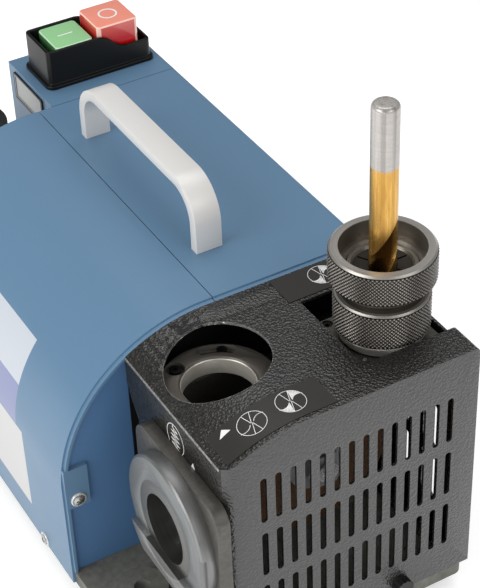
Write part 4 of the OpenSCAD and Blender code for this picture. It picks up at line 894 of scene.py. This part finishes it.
# %% [markdown]
# ## Cup washers
# The cover screws sit in bright pressed washers that spread the load on the thin sheet. Each washer is
# a short cylinder whose middle is inset and sunk round the screw head, with a rolled outer rim.

# %% Cup washers
washer_r, washer_t, head_r, rolled_r = 4.3, 0.9, 3.1, 0.5
to_front, to_left, to_right = Vector((0, -1, 0)), Vector((-1, 0, 0)), Vector((1, 0, 0))
washer_places = [(-82.5, -91, 70, to_front), (-90, -54.7, 14, to_left), (-90, 85, 14, to_left),
                 (90, -54.7, 14, to_right), (90, 85, 14, to_right)]


def cup_washer(name, x, y, z, facing):
    clear()
    bpy.ops.mesh.primitive_cylinder_add(vertices=40, radius=washer_r * MM, depth=washer_t * MM)
    washer = named(name)
    choose(washer, "FACE", lambda c, n: abs(n.z) > 0.9)
    bpy.ops.mesh.inset(thickness=(washer_r - head_r) * MM)
    bpy.ops.mesh.bridge_edge_loops()
    out()
    choose(washer, "EDGE", lambda a, b: min(a.z, b.z) > 0 and min(a.length, b.length) > washer_r - 0.1)
    bpy.ops.mesh.bevel(offset=rolled_r * MM, segments=3)
    out()
    washer.rotation_euler = facing.to_track_quat("Z", "Y").to_euler()
    shift(washer, Vector(mm(x, y, z)) + facing * washer_t / 2 * MM)
    face_out(washer)
    smooth(washer, 30)
    finish_piece(washer, "machine", "bright_screw", washer_zinc)


for number, (x, y, z, facing) in enumerate(washer_places, 1):
    cup_washer(f"cup_washer_{number}", x, y, z, facing)

# %% [markdown]
# ## Start and stop buttons
# Each button is a coloured cap under a clear skin. The cap gets three copies of its colour: a pale top
# as painted sheen, bright rounded rims as painted highlight, and deep sides as painted shade that
# darkens further towards the foot. A white bar and a white ring are printed on the tops.

# %% Buttons


def lit_and_shaded_cap(name, top, rim, side, foot, head):
    """Lit and shaded copies of one colour: painted sheen on the top, painted highlight on the rims and
    painted shade on the sides, darker from the head to the foot.
    """
    made = []
    for part, tone, rough in (("top", top, 0.12), ("rim", rim, 0.1), ("side", side, 0.16)):
        second = tuple(c * 0.93 for c in colour(*tone)[:3]) + (1,)
        made.append(grained(f"{name} {part}", tone, second, 120, (rough, rough + 0.06), contrast=0.4,
                            cloud=0.6, cloud_scale=60, bump_mm=0.005, strength=0.1, coat=1.0,
                            coat_rough=0.04))
    tree, socket, skin = skin_of(made[2])
    rise = ramp(tree, apart(tree, place(tree))[2], foot * MM, head * MM)
    wire(tree, mix_colour(tree, rise, skin, mix_colour(tree, 0.35, skin, top)), socket)
    return made


def button(node, name, slot, finishes):
    top_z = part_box(node)[1].z / MM
    obj = softened(node, name, 0.8, node, slot, finishes[0], 4)
    for m in finishes[1:]:
        obj.data.materials.append(m)
    for p in obj.data.polygons:
        c, n = p.center / MM, p.normal
        if n.z > 0.97 and c.z > top_z - 0.4:
            p.material_index = 0
        elif c.z > top_z - 1.0 or (abs(n.x) > 0.1 and abs(n.y) > 0.1):
            p.material_index = 1
        else:
            p.material_index = 2


green_cap = lit_and_shaded_cap("green", (150, 207, 147), (200, 236, 200), (36, 124, 60), 174, 186)
red_cap = lit_and_shaded_cap("red", (244, 150, 128), (252, 206, 190), (204, 16, 18), 181, 192)
button("green_button", "green_cap", "button_green", green_cap)
button("red_button", "red_cap", "button_red", red_cap)
print("buttons capped")

# %% [markdown]
# ## Printed marks
# The pictograms are thin strokes of white ink. A straight stroke is a narrow plane, and a round stroke
# is one short edge spun about a centre. The strokes of one picture are joined, dropped onto the surface
# with a Shrinkwrap modifier where it is curved, and thickened a little with Solidify.

# %% Ink strokes
ink_w, ink_t, point_turn = 0.27, 0.05, -28
white_ink = grained("white ink", (238, 238, 234), (216, 216, 212), 600, (0.4, 0.5), bump_mm=0.01,
                    strength=0.1)


def stroke_line(x0, y0, x1, y1, width=ink_w, cuts=6):
    clear()
    length = math.hypot(x1 - x0, y1 - y0)
    bpy.ops.mesh.primitive_plane_add(size=1, location=mm((x0 + x1) / 2, (y0 + y1) / 2, 0),
                                     rotation=(0, 0, math.atan2(y1 - y0, x1 - x0)))
    line = named("stroke")
    line.scale = (length * MM, width * MM, 1)
    settle(line)
    choose(line, "FACE")
    bpy.ops.mesh.subdivide(number_cuts=cuts)
    out()
    return line


def stroke_arc(cx, cy, radius, a0, a1, width=ink_w, steps=None):
    """A stroke from angle a0 to angle a1; the spin turns clockwise, so its sweep is negative."""
    clear()
    bpy.ops.mesh.primitive_plane_add(size=1, location=(0, 0, 0))
    arc = named("stroke")
    arc.scale = (width * MM, width * MM, 1)
    shift(arc, mm(radius, width / 2, 0))
    choose(arc, "VERT", lambda p: p.y > width / 2)
    bpy.ops.mesh.delete(type="VERT")
    out()
    arc.rotation_euler = (0, 0, math.radians(a0))
    settle(arc)
    shift(arc, mm(cx, cy, 0))
    choose(arc, "EDGE")
    sweep = a1 - a0
    bpy.ops.mesh.spin(steps=steps or max(8, int(abs(sweep) / 7.5)), angle=math.radians(-sweep),
                      center=mm(cx, cy, 0), axis=(0, 0, 1), use_auto_merge=True)
    out()
    return arc


def joined(name, strokes):
    take(*strokes)
    bpy.ops.object.join()
    obj = named(name)
    choose(obj, "VERT")
    bpy.ops.mesh.remove_doubles(threshold=1e-6)
    out()
    face_out(obj)
    if sum(p.normal.z for p in obj.data.polygons) < 0:
        choose(obj, "FACE")
        bpy.ops.mesh.flip_normals()
        out()
    return obj


def drop_onto(obj, node, gap):
    drop = obj.modifiers.new("drop", "SHRINKWRAP")
    drop.wrap_method = "PROJECT"
    drop.use_project_z = True
    drop.use_positive_direction = False
    drop.use_negative_direction = True
    drop.target = nodes[node]
    drop.offset = gap * MM
    apply_all(obj)


def thicken(obj, depth):
    solid = obj.modifiers.new("thick", "SOLIDIFY")
    solid.thickness = depth * MM
    solid.offset = 1
    apply_all(obj)


def triangle(radius, where):
    clear()
    bpy.ops.mesh.primitive_circle_add(vertices=3, radius=radius * MM, fill_type="NGON", location=where)
    mark = named("stroke")
    settle(mark)
    return mark


# %% Drill points


def drill_point(cx, cy, r, filled=False):
    """End view of a drill point, in units of its radius: rim, chisel edge, lips, heels and flutes."""
    bow_u, bow_v, bow_r, bow_sweep = 0.72, 0.15, 0.6, 93

    def at(u, v):
        c, w = math.cos(math.radians(point_turn)), math.sin(math.radians(point_turn))
        return cx + r * (u * c - v * w), cy + r * (u * w + v * c)

    def line(u0, v0, u1, v1, width=ink_w):
        return stroke_line(*at(u0, v0), *at(u1, v1), width)
    strokes = [stroke_arc(cx, cy, r, 0, 360, steps=48), line(-0.14, 0.05, 0.14, -0.05)]
    for side in (1, -1):
        strokes.append(line(-0.12 * side, 0.06 * side, -0.69 * side, 0.69 * side))
        strokes.append(line(-0.04 * side, 0.06 * side, -0.20 * side, 0.96 * side))
        start = point_turn + (180 if side > 0 else 0)
        strokes.append(stroke_arc(*at(bow_u * side, bow_v * side), bow_r * r, start, start - bow_sweep))
        for k in range(9 if filled else 0):
            swing, rim = math.radians(180 - 9.5 * k), math.radians(99 - 6 * k)
            strokes.append(line(side * (bow_u + bow_r * math.cos(swing)),
                                side * (bow_v + bow_r * math.sin(swing)),
                                side * 0.97 * math.cos(rim), side * 0.97 * math.sin(rim), 0.5))
    return strokes


# %% Pictograms of the long label
label_z, label_gap = 175, 0.03
arrow_corners = [(-42.1, -171.5), (-39.0, -167.4), (-36.0, -170.8)]
marks = drill_point(-27, -174.9, 7.0) + drill_point(-6.1, -174.5, 7.3, True)
arrow = triangle(1, (0, 0, 0))
for i, (x, y) in enumerate(arrow_corners):
    here = arrow.data.vertices[i].co / MM
    choose(arrow, "VERT", lambda p: (p - here).length < 1e-3)
    bpy.ops.transform.translate(value=mm(x - here.x, y - here.y, 0))
    out()
choose(arrow, "FACE")
bpy.ops.mesh.subdivide(number_cuts=2)
out()
long_marks = joined("long_label_marks", marks + [arrow])
shift(long_marks, mm(0, 0, label_z))
drop_onto(long_marks, "guard_label", label_gap)
thicken(long_marks, ink_t)
finish_piece(long_marks, "machine", "label_film", white_ink)

# %% Pictogram beside the chuck
notch_z = 162.43
notch_marks = joined("notch_label_marks", drill_point(56.5, -101.2, 7.2, True))
shift(notch_marks, mm(0, 0, notch_z))
thicken(notch_marks, ink_t)
finish_piece(notch_marks, "machine", "label_film", white_ink)

# %% Pictogram on the left wall
wall_ink, sign_r, hatch_r, sign_place = 0.08, 8.2, 8.0, mm(-50.02, -141.6, 134.6)
side = [stroke_arc(0, 0, sign_r, 0, 360, 0.4, 48)]
for k in range(5):
    top = 6.2 - 2.6 * k
    reach = math.sqrt(hatch_r ** 2 - top ** 2) * 0.55
    side.append(stroke_line(-reach, top, reach, top - 1.2, 0.45, 1))
    side.append(stroke_line(reach, top - 1.2, -reach * 0.9, top - 2.4, 0.45, 1))
side.append(stroke_line(-2.2, 7.6, 2.4, -7.6, 0.4, 1))
side.append(triangle(2.6, mm(16.8, -4.8, 0)))
side_marks = joined("side_wall_marks", side)
thicken(side_marks, wall_ink)
side_marks.rotation_euler = (math.radians(90), 0, math.radians(-90))
shift(side_marks, sign_place)
face_out(side_marks)
finish_piece(side_marks, "machine", "label_film", white_ink)

# %% Marks on the buttons


def button_mark(name, stroke, node):
    low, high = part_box(node)
    mark = joined(name, [stroke])
    thicken(mark, wall_ink)
    shift(mark, ((low.x + high.x) / 2, (low.y + high.y) / 2, high.z + 0.01 * MM))
    finish_piece(mark, node, "label_film", white_ink)


button_mark("start_mark", stroke_line(-4.7, 0, 4.7, 0, 0.9, 1), "green_button")
button_mark("stop_mark", stroke_arc(0, 0, 5.2, 0, 360, 1.1, 48), "red_button")

# %% [markdown]
# ## Drill
# A jobber drill is a round blank with two flutes. The wheel that mills a flute follows the helix and
# then leaves the blank on a slant, which gives the long straight edge above the chuck. The piece is
# cut here as in the shop: a winding cutter for the helix, and a wheel where the flute runs out. A
# Boolean takes them from a turned blank with a pointed end and a rounded top.

# %% Drill blank
drill_low, drill_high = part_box("twist_drill")
drill_r = (drill_high[0] - drill_low[0]) / 2
point_h = drill_r / math.tan(math.radians(59))
drill_shoulder = drill_low[2] + point_h


def drill_blank():
    clear()
    bpy.ops.mesh.primitive_cylinder_add(
        vertices=72, radius=drill_r, depth=drill_high[2] - drill_shoulder,
        location=(chuck_x, chuck_y, (drill_high[2] + drill_shoulder) / 2))
    blank_piece = named("drill")
    settle(blank_piece)
    choose(blank_piece, "FACE", lambda c, n: n.z < -0.9)
    bpy.ops.mesh.extrude_region_move(TRANSFORM_OT_translate={"value": (0, 0, -point_h)})
    bpy.ops.transform.resize(value=(0.02, 0.02, 1))
    out()
    top = drill_high[2] / MM
    choose(blank_piece, "EDGE", lambda a, b: min(a.z, b.z) > top - 0.01)
    bpy.ops.mesh.bevel(offset=2.3 * MM, segments=5, profile=0.5)
    out()
    return blank_piece


print("drill radius", round(drill_r / MM, 2), "mm, point", round(point_h / MM, 2), "mm")

# %% Cutters for the flutes
flute_lead, flute_w, web_r, runout_z = 64, 11.5, 1.6, 209.3
flute_slant, flute_face = math.radians(32), math.radians(-118.4)
helix_top = runout_z - flute_w / 2 / math.sin(flute_slant)
cutter_r, cutter_stretch, cutter_offset, cutter_rise = 5, 1.12, 6.6, 1.5
wheel_r, wheel_round, wheel_break, wheel_lift = 150, 5.2, 0.8, 4


def winding_cutter(turned_by):
    low = drill_low[2] - 2 * MM
    rise = cutter_rise * MM
    steps = int((helix_top * MM + 0.5 * MM - low) / rise)
    start = flute_face + turned_by - 2 * math.pi * (steps * rise) / (flute_lead * MM)
    offset = cutter_offset * MM
    clear()
    bpy.ops.mesh.primitive_circle_add(vertices=28, radius=cutter_r * MM, fill_type="NGON",
                                      location=(0, 0, low))
    cutter = named("flute_cutter")
    cutter.scale = (1, cutter_stretch, 1)
    settle(cutter)
    cutter.rotation_euler = (0, 0, start)
    shift(cutter, (chuck_x + offset * math.cos(start), chuck_y + offset * math.sin(start), 0))
    choose_whole(cutter)
    for _ in range(steps):
        bpy.ops.mesh.extrude_region_move(TRANSFORM_OT_translate={"value": (0, 0, rise)})
        bpy.ops.transform.rotate(value=-2 * math.pi * rise / (flute_lead * MM), orient_axis="Z",
                                 center_override=chuck_axis)
    out()
    face_out(cutter)
    return cutter


def runout_wheel(turned_by):
    face = flute_face + turned_by
    outward = Vector((math.cos(face), math.sin(face), 0))
    across = Vector((-math.sin(face), math.cos(face), 0))
    upward = Vector((0, 0, 1))
    along = math.sin(flute_slant) * across + math.cos(flute_slant) * upward
    spindle = math.cos(flute_slant) * across - math.sin(flute_slant) * upward
    clear()
    bpy.ops.mesh.primitive_cylinder_add(vertices=360, radius=wheel_r * MM, depth=flute_w * MM)
    wheel = named("runout_wheel")
    choose(wheel, "EDGE", lambda a, b: min(a.z, b.z) > 0)
    bpy.ops.mesh.bevel(offset=wheel_round * MM, segments=6, profile=0.5)
    out()
    choose(wheel, "EDGE", lambda a, b: max(a.z, b.z) < 0)
    bpy.ops.mesh.bevel(offset=wheel_break * MM, segments=2, profile=0.5)
    out()
    wheel.rotation_euler = spindle.to_track_quat("Z", "Y").to_euler()
    shift(wheel, Vector((chuck_x, chuck_y, runout_z * MM)) + (web_r + wheel_r) * MM * outward
          + flute_w / 2 * MM * spindle + wheel_lift * MM * along)
    return wheel


def cut_away(piece, cutter):
    cut = piece.modifiers.new("cut", "BOOLEAN")
    cut.operation = "DIFFERENCE"
    cut.solver = "EXACT"
    cut.object = cutter
    apply_all(piece)
    bpy.data.objects.remove(cutter)


drill = drill_blank()
for half_turn in (0, math.pi):
    cut_away(drill, winding_cutter(half_turn))
    cut_away(drill, runout_wheel(half_turn))
smooth(drill, 30)
print("drill has", len(drill.data.polygons), "faces; helix ends at", round(helix_top, 1), "mm")

# %% [markdown]
# ### Drill finish
# The drill is titanium nitride coated and its shank is bare. The coat is gold with fine draw lines
# along the drill, and down in the flutes it is darker, which is painted shade. Long soft streaks on the
# gold and on the shank are painted reflections. The coat ends in a soft line round the shank.

# %% Drill finish
gold_top, gold_waver, gold_blur = 249, 2.4, 0.7
flute_floor, flute_rim = 4.0, 6.6


def coated_drill(name):
    m, tree, shader = blank(name, 0.3, 0.9)
    lines = pattern(tree, lines_group, place(tree, chuck_axis, (1, 1, 14)), (238, 196, 112),
                    (186, 132, 58), Across=900, Contrast=1.4)
    # Painted reflections: long soft streaks along the drill, on the gold and on the shank.
    band = ramp(tree, noise(tree, place(tree, chuck_axis, (1, 1, 60)), 330, 1), 0.52, 0.66)
    reflection_streaks = mix_colour(tree, times(tree, band, 0.55), lines["Colour"], (166, 118, 50))
    # Painted shade: the gold is darker down in the flutes.
    shallow = ramp(tree, from_axis(tree, chuck_axis), flute_floor * MM, flute_rim * MM)
    gold = mix_colour(tree, shallow, (112, 74, 30), reflection_streaks)
    bare = pattern(tree, lines_group, lathe_vector(tree, chuck_axis, "Z"), (206, 202, 196),
                   (168, 162, 157), Across=1200, Contrast=1.2)
    shank = mix_colour(tree, times(tree, band, 0.5), bare["Colour"], (120, 114, 110))
    at = place(tree)
    edge = math_node(tree, "MULTIPLY_ADD", noise(tree, at, 120), gold_waver * MM,
                     (gold_top - gold_waver / 2) * MM)
    past_gold = ramp(tree, math_node(tree, "SUBTRACT", apart(tree, at)[2], edge), -gold_blur * MM,
                     gold_blur * MM)
    wire(tree, mix_colour(tree, past_gold, gold, shank), shader.inputs["Base Color"])
    wire(tree, math_node(tree, "MULTIPLY_ADD", past_gold, -0.4, 0.85), shader.inputs["Metallic"])
    vary_roughness(tree, shader, lines["Height"], 0.22, 0.36)
    bump(tree, shader, lines["Height"], 0.2, 0.01)
    return m


finish_piece(drill, "drill", "drill_gold", coated_drill("coated drill"), "twist_drill")
